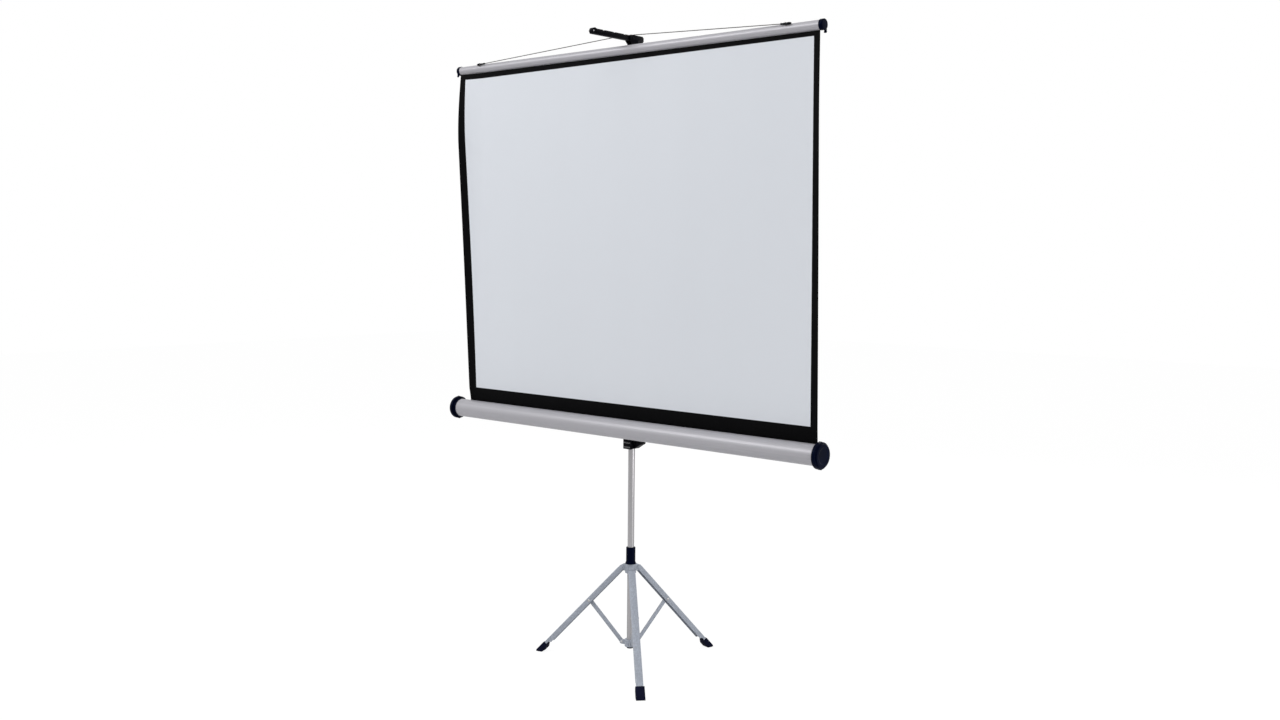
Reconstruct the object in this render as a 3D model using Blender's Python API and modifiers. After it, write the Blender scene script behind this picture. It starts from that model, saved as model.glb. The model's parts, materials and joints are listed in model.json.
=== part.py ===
"""Tripod projector screen: column, folding legs, swivelling case, roller screen and extending mast.

Metres, +Z up. The screen faces -Y and its width lies along X. Everything is first laid out about a column
that stands at X = 0, Y = COLUMN_Y, and the last step moves the whole part so that the middle of its outline
on the floor is the origin. Each moving assembly hangs from an empty that stands on its joint's axis.
"""

import math

import bmesh
import bpy
from mathutils import Matrix, Vector

# Clearances
GAP = 0.0003
RUNNING_GAP = 0.0004
CUT_OVERRUN = 0.004

# Fabric of the screen
FABRIC_WIDTH = 1.544
FABRIC_THICKNESS = 0.0008
FABRIC_OFFSET = 0.004
FABRIC_LEFT_CURL = 0.034
FABRIC_RIGHT_CURL = 0.006
FABRIC_CURL_REACH_LOW = 0.040
FABRIC_CURL_REACH_HIGH = 0.130
FABRIC_CURL_LOW_SHARE = 0.15
FABRIC_CURL_TOP_SHARE = 0.4
FABRIC_CURL_PEAK_SHARE = 0.8
FABRIC_CURL_START_SHARE = 0.012
FABRIC_CURL_FADE_SHARE = 0.05
FABRIC_EDGE_COLUMNS = 8
FABRIC_MIDDLE_COLUMNS = 8
FABRIC_FADE_ROWS = 2
FABRIC_ROWS = 14

# Case (the housing of the roller)
CASE_RADIUS = 0.0325
CASE_WALL = 0.0015
CASE_END_MARGIN = 0.0235
CASE_AXIS_Z = 0.828
CASE_AXIS_Y = -0.032
CASE_SLOT_ANGLE = math.radians(65.0)
CASE_SLOT_WIDTH = 0.006
CASE_CAP_RECESS = 0.006
CASE_CAP_LENGTH = 0.018
CASE_CAP_RIM_RADIUS = 0.0405
CASE_CAP_RIM_DEPTH = 0.013
CASE_CAP_FACE_RADIUS = 0.036
CASE_CAP_WALL = 0.0025
CASE_CAP_BOSS_RADIUS = 0.010
CASE_CAP_BOSS_REACH = 0.006

# Roller inside the case
ROLLER_RADIUS = 0.019
ROLLER_WALL = 0.0012
ROLLER_END_MARGIN = 0.008
ROLLER_PLUG_FLANGE = 0.003
ROLLER_PLUG_DEPTH = 0.020
WOUND_FABRIC_THICKNESS = 0.0022
GUDGEON_RADIUS = 0.004
ARBOR_RADIUS = 0.005
ARBOR_LENGTH = 0.420
SPRING_LENGTH = 0.330
SPRING_THICKNESS = 0.0030

# Batten and bail
BATTEN_RADIUS = 0.0145
BATTEN_WALL = 0.0012
BATTEN_END_MARGIN = 0.018
BATTEN_CAP_LENGTH = 0.013
BATTEN_CAP_RADIUS = 0.0175
BATTEN_CAP_WALL = 0.002
BATTEN_PLUG_DEPTH = 0.015
BATTEN_Z = 2.070
BATTEN_Y = -0.035
TAB_WIDTH = 0.010
TAB_THICKNESS = 0.0035
TAB_REACH = 0.024
TAB_OFFSET = 0.011
EYE_RADIUS = 0.0035
EYE_WIRE_RADIUS = 0.0013
EYE_INSET = 0.126
EYE_LEAN = math.radians(50.0)
BAIL_RADIUS = 0.0015
BAIL_END_OVERHANG = 0.003

# Column and mast
COLUMN_Y = 0.043
COLUMN_RADIUS = 0.0113
COLUMN_WALL = 0.0012
COLUMN_BOTTOM_Z = 0.062
COLUMN_TOP_Z = 1.260
COLUMN_PLUG_THICKNESS = 0.004
COLUMN_PLUG_DEPTH = 0.018
GUIDE_WALL = 0.0026
GUIDE_HEIGHT = 0.034
GUIDE_LIP = 0.008
MAST_LOWER_WALL = 0.0010
MAST_LOWER_BOTTOM_Z = 0.810
MAST_LOWER_TOP_Z = 1.620
MAST_UPPER_WALL = 0.0010
MAST_UPPER_BOTTOM_Z = 1.440
MAST_UPPER_TOP_DROP = 0.011

# Head and keystone arm
ARM_Z = 2.1165
ARM_HEIGHT = 0.017
ARM_WIDTH = 0.016
ARM_REACH = 0.1865
ARM_HINGE_Y = 0.0195
ARM_PIN_RADIUS = 0.0025
ARM_TIP_RISE = 0.003
NOTCH_WIDTH = 0.0045
NOTCH_DEPTH = 0.0065
NOTCH_SPACING = 0.050
NOTCH_COUNT = 3
FIRST_NOTCH_Y = -0.017
HEAD_WIDTH = 0.024
HEAD_FRONT_Y = 0.004
HEAD_REAR_Y = 0.072
HEAD_TOP_RISE = 0.0105
HEAD_DEPTH = 0.032
HEAD_CHAMFER = 0.005
HEAD_TAPER = 0.016
HEAD_SOCKET_WALL = 0.0045
HEAD_SOCKET_DROP = 0.039

# Carriage, swivel and lever
CARRIAGE_HALF_WIDTH = 0.018
CARRIAGE_HALF_DEPTH = 0.0175
CARRIAGE_BOTTOM_Z = 0.752
CARRIAGE_TOP_Z = 0.852
CARRIAGE_EDGE_ROUND = 0.002
SWIVEL_RADIUS = 0.020
SWIVEL_WASHER_RADIUS = 0.018
SWIVEL_WASHER_THICKNESS = 0.0024
SWIVEL_BOLT_RADIUS = 0.004
SWIVEL_BOLT_LENGTH = 0.020
SADDLE_PLATE = 0.005
SADDLE_HALF_WIDTH = 0.030
SADDLE_HEIGHT = 0.0275
SADDLE_DEPTH = 0.014
SADDLE_REST = 0.003
LEVER_HALF_WIDTH = 0.012
LEVER_REACH = 0.052
LEVER_PIVOT_OUT = 0.0045
LEVER_PIVOT_Z = 0.775
LEVER_TOP_RISE = 0.006
LEVER_TIP_HEIGHT = 0.012
LEVER_ROOT_DROP = 0.021
LEVER_PIN_RADIUS = 0.0018
LEVER_LUG_THICKNESS = 0.003
LEVER_LUG_RADIUS = 0.005

# Tripod
FOOT_CIRCLE_RADIUS = 0.349
LEG_TURN = math.radians(47.25)
LEG_COUNT = 3
LEG_PIVOT_RADIUS = 0.030
HUB_PIVOT_Z = 0.338
LEG_WIDTH = 0.024
LEG_WALL = 0.0012
LEG_BACK = 0.010
LEG_FRONT = 0.008
LEG_CORNER_RADIUS = 0.003
LEG_CORNER_STEPS = 3
LEG_PIN_RADIUS = 0.003
LEG_ARC_STEPS = 8
LEG_TONGUE_LENGTH = 0.014
LEG_TONGUE_SLANT = 0.010
SHOE_LENGTH = 0.034
SHOE_PLUG_DEPTH = 0.022
SHOE_SWELL = 0.0012
SHOE_SIDE_SWELL = 0.003
SHOE_NECK_FRONT = 0.002
SHOE_NECK_LENGTH = 0.012
SHOE_TOE_ROUND = 0.012
SHOE_TOE_STEPS = 6
SHOE_EDGE_ROUND = 0.0025
STRUT_PIVOT_ALONG = 0.180
STRUT_WIDTH = 0.015
STRUT_THICKNESS = 0.003
STRUT_RIVET_RADIUS = 0.0025
HUB_RING_RADIUS = 0.019
HUB_RING_BOTTOM_Z = 0.322
HUB_RING_TOP_Z = 0.3535
HUB_ARM_RADIUS = 0.0092
HUB_ARM_SIDE_GAP = 0.0004
SLEEVE_RADIUS = 0.016
SLEEVE_FLARE_RADIUS = 0.0187
SLEEVE_FLARE_HEIGHT = 0.008
SLEEVE_TOP_Z = 0.411
COLLAR_RING_RADIUS = 0.0185
COLLAR_HALF_HEIGHT = 0.012
LUG_RADIUS = 0.008
LUG_THICKNESS = 0.002

# Worked out from the sizes above
LEG_LEAN = math.atan2(FOOT_CIRCLE_RADIUS - LEG_PIVOT_RADIUS, HUB_PIVOT_Z)
COLLAR_Z = HUB_PIVOT_Z - 2.0 * STRUT_PIVOT_ALONG * math.cos(LEG_LEAN)
HUB_TRAVEL = 2.0 * STRUT_PIVOT_ALONG * (1.0 - math.cos(LEG_LEAN))
FABRIC_HALF = FABRIC_WIDTH / 2.0
ROLLER_HALF = FABRIC_HALF + ROLLER_END_MARGIN
CASE_TUBE_HALF = ROLLER_HALF + CASE_END_MARGIN
BATTEN_HALF = FABRIC_HALF + BATTEN_END_MARGIN
EYE_X = BATTEN_HALF - EYE_INSET
MAST_UPPER_TOP_Z = ARM_Z - MAST_UPPER_TOP_DROP
HEAD_SOCKET_BOTTOM_Z = ARM_Z - HEAD_SOCKET_DROP
COLUMN_BORE = COLUMN_RADIUS - COLUMN_WALL
MAST_LOWER_RADIUS = COLUMN_BORE - GAP
MAST_UPPER_RADIUS = MAST_LOWER_RADIUS - MAST_LOWER_WALL - GAP
SLIDE_BORE = COLUMN_RADIUS + GAP
CASE_CAP_INNER_X = CASE_TUBE_HALF - CASE_CAP_RECESS
CASE_END_X = CASE_CAP_INNER_X + CASE_CAP_LENGTH
SLOT_RADIUS = CASE_RADIUS - CASE_WALL / 2.0
SLOT_Y = CASE_AXIS_Y + SLOT_RADIUS * math.sin(CASE_SLOT_ANGLE)
SLOT_Z = CASE_AXIS_Z + SLOT_RADIUS * math.cos(CASE_SLOT_ANGLE)
WOUND_RADIUS = ROLLER_RADIUS + GAP + WOUND_FABRIC_THICKNESS
FABRIC_TOP_Z = BATTEN_Z - BATTEN_RADIUS - GAP
ARM_TOP_Z = ARM_Z + ARM_HEIGHT / 2.0
BAIL_TOP_Z = ARM_TOP_Z - NOTCH_DEPTH + BAIL_RADIUS + GAP
EYE_DISTANCE = BATTEN_RADIUS + GAP + EYE_RADIUS + EYE_WIRE_RADIUS
EYE_Y = BATTEN_Y - EYE_DISTANCE * math.sin(EYE_LEAN)
EYE_Z = BATTEN_Z + EYE_DISTANCE * math.cos(EYE_LEAN)
CASE_BACK_Y = CASE_AXIS_Y + CASE_RADIUS
SADDLE_FRONT_Y = CASE_BACK_Y + SADDLE_REST
SADDLE_BACK_Y = SADDLE_FRONT_Y + SADDLE_PLATE
WASHER_FRONT_Y = SADDLE_BACK_Y + GAP
CARRIAGE_NOSE_Y = WASHER_FRONT_Y + SWIVEL_WASHER_THICKNESS + GAP
CARRIAGE_FRONT_Y = COLUMN_Y - CARRIAGE_HALF_DEPTH

TURN_STEPS = 32
SMALL_TURN_STEPS = 20
FACE_ACROSS_X = Matrix.Rotation(math.pi / 2.0, 4, "Y")
FACE_ACROSS_Y = Matrix.Rotation(math.pi / 2.0, 4, "X")


def new_collection(name):
    """Makes a collection in the scene."""
    made = bpy.data.collections.new(name)
    bpy.context.scene.collection.children.link(made)
    return made


def make_material(name, colour, roughness, metallic):
    """A Principled material of one plain colour."""
    made = bpy.data.materials.new(name)
    made.use_nodes = True
    shader = made.node_tree.nodes["Principled BSDF"]
    shader.inputs["Base Color"].default_value = (*colour, 1.0)
    shader.inputs["Roughness"].default_value = roughness
    shader.inputs["Metallic"].default_value = metallic
    return made


def empty(name, location, parent=None):
    """An empty that carries a moving assembly and stands on its joint's axis."""
    made = bpy.data.objects.new(name, None)
    made.empty_display_size = LEG_WIDTH
    PARTS.objects.link(made)
    made.location = location
    if parent is not None:
        bpy.context.view_layer.update()
        made.parent = parent
        made.matrix_parent_inverse = parent.matrix_world.inverted()
    bpy.context.view_layer.update()
    return made


def place(obj, carrier, material=None, cutter=False):
    """Gives an object its carrier, keeping where it stands, and its material or its role as a cutter."""
    for owner in list(obj.users_collection):
        owner.objects.unlink(obj)
    (CUTTERS if cutter else PARTS).objects.link(obj)
    if cutter:
        obj.hide_render = True
        obj.display_type = "WIRE"
    if material is not None:
        obj.data.materials.clear()
        obj.data.materials.append(material)
    if carrier is not None:
        world = obj.matrix_world.copy()
        obj.parent = carrier
        obj.matrix_parent_inverse = carrier.matrix_world.inverted()
        obj.matrix_basis = world
    return obj


def mesh_object(name, bm, frame, smooth=True):
    """Turns a bmesh into an object that stands in the given frame."""
    bmesh.ops.recalc_face_normals(bm, faces=bm.faces)
    data = bpy.data.meshes.new(name)
    bm.to_mesh(data)
    bm.free()
    obj = bpy.data.objects.new(name, data)
    bpy.context.scene.collection.objects.link(obj)
    obj.matrix_world = frame
    if smooth:
        data.shade_smooth()
        data.set_sharp_from_angle(angle=math.radians(35.0))
    return obj


def block(name, low, high, frame=None):
    """A box between two corners."""
    bm = bmesh.new()
    size = [h - l for l, h in zip(low, high)]
    middle = [(l + h) / 2.0 for l, h in zip(low, high)]
    grow = Matrix.Translation(middle) @ Matrix.Diagonal((*size, 1.0))
    bmesh.ops.create_cube(bm, size=1.0, matrix=grow)
    return mesh_object(name, bm, frame or Matrix.Identity(4), smooth=False)


def rod(name, radius, length, frame, steps=SMALL_TURN_STEPS):
    """A round bar along the frame's Z, from its origin."""
    bm = bmesh.new()
    lift = Matrix.Translation((0.0, 0.0, length / 2.0))
    bmesh.ops.create_cone(
        bm, cap_ends=True, segments=steps, radius1=radius, radius2=radius, depth=length, matrix=lift
    )
    return mesh_object(name, bm, frame)


def turned(name, profile, frame, steps=TURN_STEPS):
    """A closed profile of (radius, height) points, outer side first and top to bottom, turned about Z."""
    data = bpy.data.meshes.new(name)
    points = [(radius, 0.0, height) for radius, height in profile]
    on_axis = profile[0][0] == 0.0 and profile[-1][0] == 0.0
    count = len(points)
    edges = [(i, i + 1) for i in range(count - 1)]
    if not on_axis:
        edges.append((count - 1, 0))
    data.from_pydata(points, edges, [])
    obj = bpy.data.objects.new(name, data)
    bpy.context.scene.collection.objects.link(obj)
    obj.matrix_world = frame
    screw = obj.modifiers.new("turn", "SCREW")
    screw.axis = "Z"
    screw.angle = 2.0 * math.pi
    screw.steps = steps
    screw.render_steps = steps
    screw.use_merge_vertices = True
    screw.merge_threshold = 0.00001
    screw.use_smooth_shade = True
    return obj


def ring_profile(inner, outer, bottom, top):
    """Profile of a plain tube."""
    return [(outer, top), (outer, bottom), (inner, bottom), (inner, top)]


def outline_solid(name, points, thickness, frame):
    """A flat outline in the frame's XY, as thick along Z as given and centred on it."""
    curve = bpy.data.curves.new(name, "CURVE")
    curve.dimensions = "2D"
    curve.fill_mode = "BOTH"
    curve.extrude = thickness / 2.0
    spline = curve.splines.new("POLY")
    spline.points.add(len(points) - 1)
    for point, (x, y) in zip(spline.points, points):
        point.co = (x, y, 0.0, 1.0)
    spline.use_cyclic_u = True
    source = bpy.data.objects.new(name, curve)
    source.matrix_world = frame
    return curve_to_mesh(source)


def curve_to_mesh(source):
    """Replaces a curve object by a welded mesh object of the same name and place."""
    bpy.context.scene.collection.objects.link(source)
    bpy.context.view_layer.update()
    graph = bpy.context.evaluated_depsgraph_get()
    data = bpy.data.meshes.new_from_object(source.evaluated_get(graph))
    name, world = source.name, source.matrix_world.copy()
    curve = source.data
    bpy.data.objects.remove(source)
    bpy.data.curves.remove(curve)
    bm = bmesh.new()
    bm.from_mesh(data)
    bpy.data.meshes.remove(data)
    bmesh.ops.remove_doubles(bm, verts=bm.verts, dist=0.00001)
    return mesh_object(name, bm, world)


def wire(name, points, radius, resolution=2):
    """A round wire through points, with filled ends."""
    curve = bpy.data.curves.new(name, "CURVE")
    curve.dimensions = "3D"
    curve.bevel_depth = radius
    curve.bevel_resolution = resolution
    curve.use_fill_caps = True
    spline = curve.splines.new("POLY")
    spline.points.add(len(points) - 1)
    for point, place_at in zip(spline.points, points):
        point.co = (*place_at, 1.0)
    return curve_to_mesh(bpy.data.objects.new(name, curve))


def arc(centre_x, centre_y, radius, start, end, steps=LEG_ARC_STEPS):
    """Points on an arc, both ends included."""
    return [
        (
            centre_x + radius * math.cos(start + (end - start) * i / steps),
            centre_y + radius * math.sin(start + (end - start) * i / steps),
        )
        for i in range(steps + 1)
    ]


def boolean(obj, other, operation):
    """Adds an exact Boolean with an object that becomes a cutter or a joined piece."""
    modifier = obj.modifiers.new(operation.lower(), "BOOLEAN")
    modifier.operation = operation
    modifier.solver = "EXACT"
    modifier.object = other


def cut(obj, other, carrier):
    """Cuts the other solid out of the object."""
    place(other, carrier, cutter=True)
    boolean(obj, other, "DIFFERENCE")


def join(obj, other, carrier):
    """Adds the other solid to the object."""
    place(other, carrier, cutter=True)
    boolean(obj, other, "UNION")


def across_y(x, y, z):
    """Frame at a point whose Z runs along +Y."""
    return Matrix.Translation((x, y, z)) @ Matrix.Rotation(-math.pi / 2.0, 4, "X")


def across_x(x, y, z):
    """Frame at a point whose Z runs along +X."""
    return Matrix.Translation((x, y, z)) @ FACE_ACROSS_X


def column_frame(z=0.0):
    """Frame on the column's axis."""
    return Matrix.Translation((0.0, COLUMN_Y, z))


def side_frame(x=0.0):
    """Frame whose X is world Y and whose Y is world Z, for outlines seen from the side."""
    turn = Matrix(((0.0, 0.0, 1.0, x), (1.0, 0.0, 0.0, 0.0), (0.0, 1.0, 0.0, 0.0), (0.0, 0.0, 0.0, 1.0)))
    return turn


def front_frame(y):
    """Frame whose X is world X and whose Y is world Z, for outlines seen from the front."""
    return Matrix.Translation((0.0, y, 0.0)) @ FACE_ACROSS_Y


def radial_frame(index):
    """Frame of one leg's upright plane: X points outwards, Y up, and the origin is on the floor."""
    turn = LEG_TURN + 2.0 * math.pi * index / LEG_COUNT
    outwards = Vector((math.sin(turn), -math.cos(turn), 0.0))
    sideways = outwards.cross(Vector((0.0, 0.0, 1.0)))
    frame = Matrix.Identity(4)
    frame.col[0][:3] = outwards
    frame.col[1][:3] = (0.0, 0.0, 1.0)
    frame.col[2][:3] = sideways
    return column_frame() @ frame


def leg_frame(index):
    """Frame of one leg: origin on its pin, Y up along the leg, X out of its back."""
    pivot = Matrix.Translation((LEG_PIVOT_RADIUS, HUB_PIVOT_Z, 0.0))
    return radial_frame(index) @ pivot @ Matrix.Rotation(LEG_LEAN, 4, "Z")


def build_column(root):
    """The column tube, its plug, the strut collar and the guide on its upper end."""
    tube = turned(
        "column_tube", ring_profile(COLUMN_BORE, COLUMN_RADIUS, COLUMN_BOTTOM_Z, COLUMN_TOP_Z), column_frame()
    )
    place(tube, root, ALUMINIUM)
    plug_bore = COLUMN_BORE - GAP
    plug_bottom = COLUMN_BOTTOM_Z - GAP - COLUMN_PLUG_THICKNESS
    plug = turned(
        "column_plug",
        [
            (0.0, COLUMN_BOTTOM_Z + COLUMN_PLUG_DEPTH),
            (plug_bore, COLUMN_BOTTOM_Z + COLUMN_PLUG_DEPTH),
            (plug_bore, COLUMN_BOTTOM_Z - GAP),
            (COLUMN_RADIUS, COLUMN_BOTTOM_Z - GAP),
            (COLUMN_RADIUS, plug_bottom),
            (0.0, plug_bottom),
        ],
        column_frame(),
    )
    place(plug, root, BLACK_PLASTIC)
    build_collar(root)
    guide("column_guide", COLUMN_RADIUS, MAST_LOWER_RADIUS, COLUMN_TOP_Z, root)


def guide(name, tube_radius, inner_radius, tube_top, carrier):
    """A plastic guide that caps a tube and centres the tube that slides in it."""
    outer = tube_radius + GAP + GUIDE_WALL
    top = tube_top + GUIDE_LIP
    profile = [
        (outer - GUIDE_WALL / 2.0, top),
        (outer, top - GUIDE_WALL / 2.0),
        (outer, tube_top - GUIDE_HEIGHT),
        (tube_radius + GAP, tube_top - GUIDE_HEIGHT),
        (tube_radius + GAP, tube_top + GAP),
        (inner_radius + RUNNING_GAP, tube_top + GAP),
        (inner_radius + RUNNING_GAP, top),
    ]
    place(turned(name, profile, column_frame()), carrier, BLACK_PLASTIC)


def build_collar(root):
    """The ring at the foot of the column, with a pair of lugs for each strut."""
    collar = turned(
        "strut_collar",
        ring_profile(SLIDE_BORE, COLLAR_RING_RADIUS, COLLAR_Z - COLLAR_HALF_HEIGHT, COLLAR_Z + COLLAR_HALF_HEIGHT),
        column_frame(),
    )
    place(collar, root, LEG_PAINT)
    slot_half = STRUT_THICKNESS / 2.0 + RUNNING_GAP
    for index in range(LEG_COUNT):
        frame = radial_frame(index)
        start = (SLIDE_BORE + COLLAR_RING_RADIUS) / 2.0
        outline = [(start, COLLAR_Z - LUG_RADIUS)]
        outline += arc(LEG_PIVOT_RADIUS, COLLAR_Z, LUG_RADIUS, -math.pi / 2.0, math.pi / 2.0)
        outline += [(start, COLLAR_Z + LUG_RADIUS)]
        lug = outline_solid(f"lug_{index + 1}", outline, 2.0 * (slot_half + LUG_THICKNESS), frame)
        join(collar, lug, root)
        slot_from = COLLAR_RING_RADIUS + RUNNING_GAP
        slot_to = LEG_PIVOT_RADIUS + LUG_RADIUS + CUT_OVERRUN
        reach = LUG_RADIUS + CUT_OVERRUN
        slot = block(
            f"lug_slot_{index + 1}",
            (slot_from, COLLAR_Z - reach, -slot_half),
            (slot_to, COLLAR_Z + reach, slot_half),
            frame,
        )
        cut(collar, slot, root)


def hub_arm_outline(start):
    """Side outline of one arm of the star: round at the leg's pin, with a shoulder up to the ring's top."""
    corner = Vector((HUB_RING_RADIUS - LEG_PIVOT_RADIUS, HUB_RING_TOP_Z - HUB_PIVOT_Z))
    tangent = math.atan2(corner.y, corner.x) - math.acos(HUB_ARM_RADIUS / corner.length)
    outline = [(start, HUB_PIVOT_Z - HUB_ARM_RADIUS)]
    outline += arc(LEG_PIVOT_RADIUS, HUB_PIVOT_Z, HUB_ARM_RADIUS, -math.pi / 2.0, tangent)
    outline += [(HUB_RING_RADIUS, HUB_RING_TOP_Z), (start, HUB_RING_TOP_Z)]
    return outline


def build_hub(hub):
    """The star that holds the legs, and the flared sleeve above it."""
    bracket = turned(
        "hub_bracket", ring_profile(SLIDE_BORE, HUB_RING_RADIUS, HUB_RING_BOTTOM_Z, HUB_RING_TOP_Z), column_frame()
    )
    place(bracket, hub, LEG_PAINT)
    arm_width = LEG_WIDTH - 2.0 * (LEG_WALL + HUB_ARM_SIDE_GAP)
    start = (SLIDE_BORE + HUB_RING_RADIUS) / 2.0
    for index in range(LEG_COUNT):
        frame = radial_frame(index)
        arm = outline_solid(f"hub_arm_{index + 1}", hub_arm_outline(start), arm_width, frame)
        join(bracket, arm, hub)
    bore = rod("hub_bore", SLIDE_BORE, HUB_RING_TOP_Z, column_frame(HUB_RING_BOTTOM_Z / 2.0), TURN_STEPS)
    cut(bracket, bore, hub)
    for index in range(LEG_COUNT):
        pin_frame = radial_frame(index) @ Matrix.Translation((LEG_PIVOT_RADIUS, HUB_PIVOT_Z, -LEG_WIDTH / 2.0))
        drill = pin_frame @ Matrix.Translation((0.0, 0.0, -CUT_OVERRUN))
        hole = rod(f"hub_hole_{index + 1}", LEG_PIN_RADIUS + GAP, LEG_WIDTH + 2.0 * CUT_OVERRUN, drill)
        cut(bracket, hole, hub)
        place(rod(f"leg_pin_{index + 1}", LEG_PIN_RADIUS, LEG_WIDTH, pin_frame), hub, STEEL)
    sleeve_bottom = HUB_RING_TOP_Z + GAP
    sleeve = turned(
        "hub_sleeve",
        [
            (SLEEVE_RADIUS - GUIDE_WALL / 2.0, SLEEVE_TOP_Z),
            (SLEEVE_RADIUS, SLEEVE_TOP_Z - GUIDE_WALL / 2.0),
            (SLEEVE_RADIUS, sleeve_bottom + SLEEVE_FLARE_HEIGHT),
            (SLEEVE_FLARE_RADIUS, sleeve_bottom),
            (SLIDE_BORE, sleeve_bottom),
            (SLIDE_BORE, SLEEVE_TOP_Z),
        ],
        column_frame(),
    )
    place(sleeve, hub, BLACK_PLASTIC)


def floor_reach(offset):
    """How far down the leg its line at this offset from the pin meets the floor."""
    return (HUB_PIVOT_Z + offset * math.sin(LEG_LEAN)) / math.cos(LEG_LEAN)


def channel_end():
    """Distance from the pin to the lower end of the leg's channel."""
    return floor_reach(-LEG_FRONT) - SHOE_LENGTH


def channel_section():
    """Section of a leg's channel: a U with rounded corners, open towards the front of the leg."""
    half = LEG_WIDTH / 2.0
    centre_x = LEG_BACK - LEG_CORNER_RADIUS
    centre_y = half - LEG_CORNER_RADIUS
    inner = LEG_CORNER_RADIUS - LEG_WALL
    quarter = math.pi / 2.0
    outline = [(-LEG_FRONT, half)]
    outline += arc(centre_x, centre_y, LEG_CORNER_RADIUS, quarter, 0.0, LEG_CORNER_STEPS)
    outline += arc(centre_x, -centre_y, LEG_CORNER_RADIUS, 0.0, -quarter, LEG_CORNER_STEPS)
    outline += [(-LEG_FRONT, -half), (-LEG_FRONT, LEG_WALL - half)]
    outline += arc(centre_x, -centre_y, inner, -quarter, 0.0, LEG_CORNER_STEPS)
    outline += arc(centre_x, centre_y, inner, 0.0, quarter, LEG_CORNER_STEPS)
    outline += [(-LEG_FRONT, half - LEG_WALL)]
    return outline


def channel_top_waste():
    """Side outline of what is cut off the channel's top, leaving its walls round about the pin."""
    beyond = LEG_BACK + CUT_OVERRUN
    outline = [(beyond, 0.0), (beyond, beyond), (-beyond, beyond), (-beyond, 0.0)]
    outline += arc(0.0, 0.0, LEG_BACK, math.pi, 0.0, 2 * LEG_ARC_STEPS)
    return outline


def channel_flange_waste():
    """Side outline of what is cut off the flanges above the shoe, where a tongue runs into it."""
    beyond = -LEG_FRONT - CUT_OVERRUN
    low = -channel_end() - CUT_OVERRUN
    high = -channel_end() + LEG_TONGUE_LENGTH
    return [(beyond, low), (0.0, low), (0.0, high), (beyond, high + LEG_TONGUE_SLANT)]


def build_leg(index, leg):
    """One channel leg with its shoe and the rivet that carries its strut."""
    frame = leg_frame(index)
    number = index + 1
    length = channel_end() + LEG_BACK
    along = Matrix.Translation((0.0, LEG_BACK - length / 2.0, 0.0)) @ Matrix.Rotation(-math.pi / 2.0, 4, "X")
    channel = outline_solid(f"leg_{number}", channel_section(), length, frame @ along)
    place(channel, leg, LEG_PAINT)
    web_half = LEG_WIDTH / 2.0 - LEG_WALL + GAP
    web_end = LEG_BACK + CUT_OVERRUN
    web_waste = block(f"leg_web_waste_{number}", (0.0, -LEG_FRONT, -web_half), (web_end, web_end, web_half), frame)
    cut(channel, web_waste, leg)
    waste_width = LEG_WIDTH + 2.0 * CUT_OVERRUN
    cut(channel, outline_solid(f"leg_top_waste_{number}", channel_top_waste(), waste_width, frame), leg)
    cut(channel, outline_solid(f"leg_flange_waste_{number}", channel_flange_waste(), waste_width, frame), leg)
    side = Matrix.Translation((0.0, 0.0, -LEG_WIDTH / 2.0))
    drill_side = Matrix.Translation((0.0, 0.0, -LEG_WIDTH / 2.0 - CUT_OVERRUN))
    drill_length = LEG_WIDTH + 2.0 * CUT_OVERRUN
    down = Matrix.Translation((0.0, -STRUT_PIVOT_ALONG, 0.0))
    pin_hole = rod(f"leg_pin_hole_{number}", LEG_PIN_RADIUS + GAP, drill_length, frame @ drill_side)
    cut(channel, pin_hole, leg)
    rivet_hole = rod(f"rivet_hole_{number}", STRUT_RIVET_RADIUS + GAP, drill_length, frame @ down @ drill_side)
    cut(channel, rivet_hole, leg)
    rivet = rod(f"strut_rivet_{number}", STRUT_RIVET_RADIUS, LEG_WIDTH, frame @ down @ side)
    place(rivet, leg, STEEL)
    build_shoe(number, leg, frame)


def round_toe(heel, toe):
    """Points that round a shoe's toe, from its sole, which starts at the heel, up to its back."""
    along = (toe - heel).normalized()
    start = toe - along * SHOE_TOE_ROUND
    end = toe + Vector((0.0, SHOE_TOE_ROUND))
    shares = [i / SHOE_TOE_STEPS for i in range(SHOE_TOE_STEPS + 1)]
    return [tuple(start * (1.0 - t) ** 2 + toe * (2.0 * t * (1.0 - t)) + end * t**2) for t in shares]


def build_shoe(number, leg, frame):
    """A plastic shoe whose slanted sole lies flat on the floor, with a plug up the channel."""
    top = -channel_end() - GAP
    back = LEG_BACK + SHOE_SWELL
    front = LEG_FRONT + SHOE_SWELL
    outline = [(back, top), (-SHOE_NECK_FRONT, top), (-front, top - SHOE_NECK_LENGTH), (-front, -floor_reach(-front))]
    outline += round_toe(Vector(outline[-1]), Vector((back, -floor_reach(back))))
    shoe = outline_solid(f"leg_shoe_{number}", outline, LEG_WIDTH + 2.0 * SHOE_SIDE_SWELL, frame)
    soften(shoe, SHOE_EDGE_ROUND)
    place(shoe, leg, BLACK_PLASTIC)
    plug_back = LEG_BACK - LEG_CORNER_RADIUS
    plug = outline_solid(
        f"shoe_plug_{number}",
        [
            (plug_back, top - SHOE_PLUG_DEPTH / 2.0),
            (plug_back, top + SHOE_PLUG_DEPTH),
            (GAP, top + SHOE_PLUG_DEPTH),
            (GAP, top - SHOE_PLUG_DEPTH / 2.0),
        ],
        LEG_WIDTH - 2.0 * (LEG_WALL + GAP),
        frame,
    )
    join(shoe, plug, leg)


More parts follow.
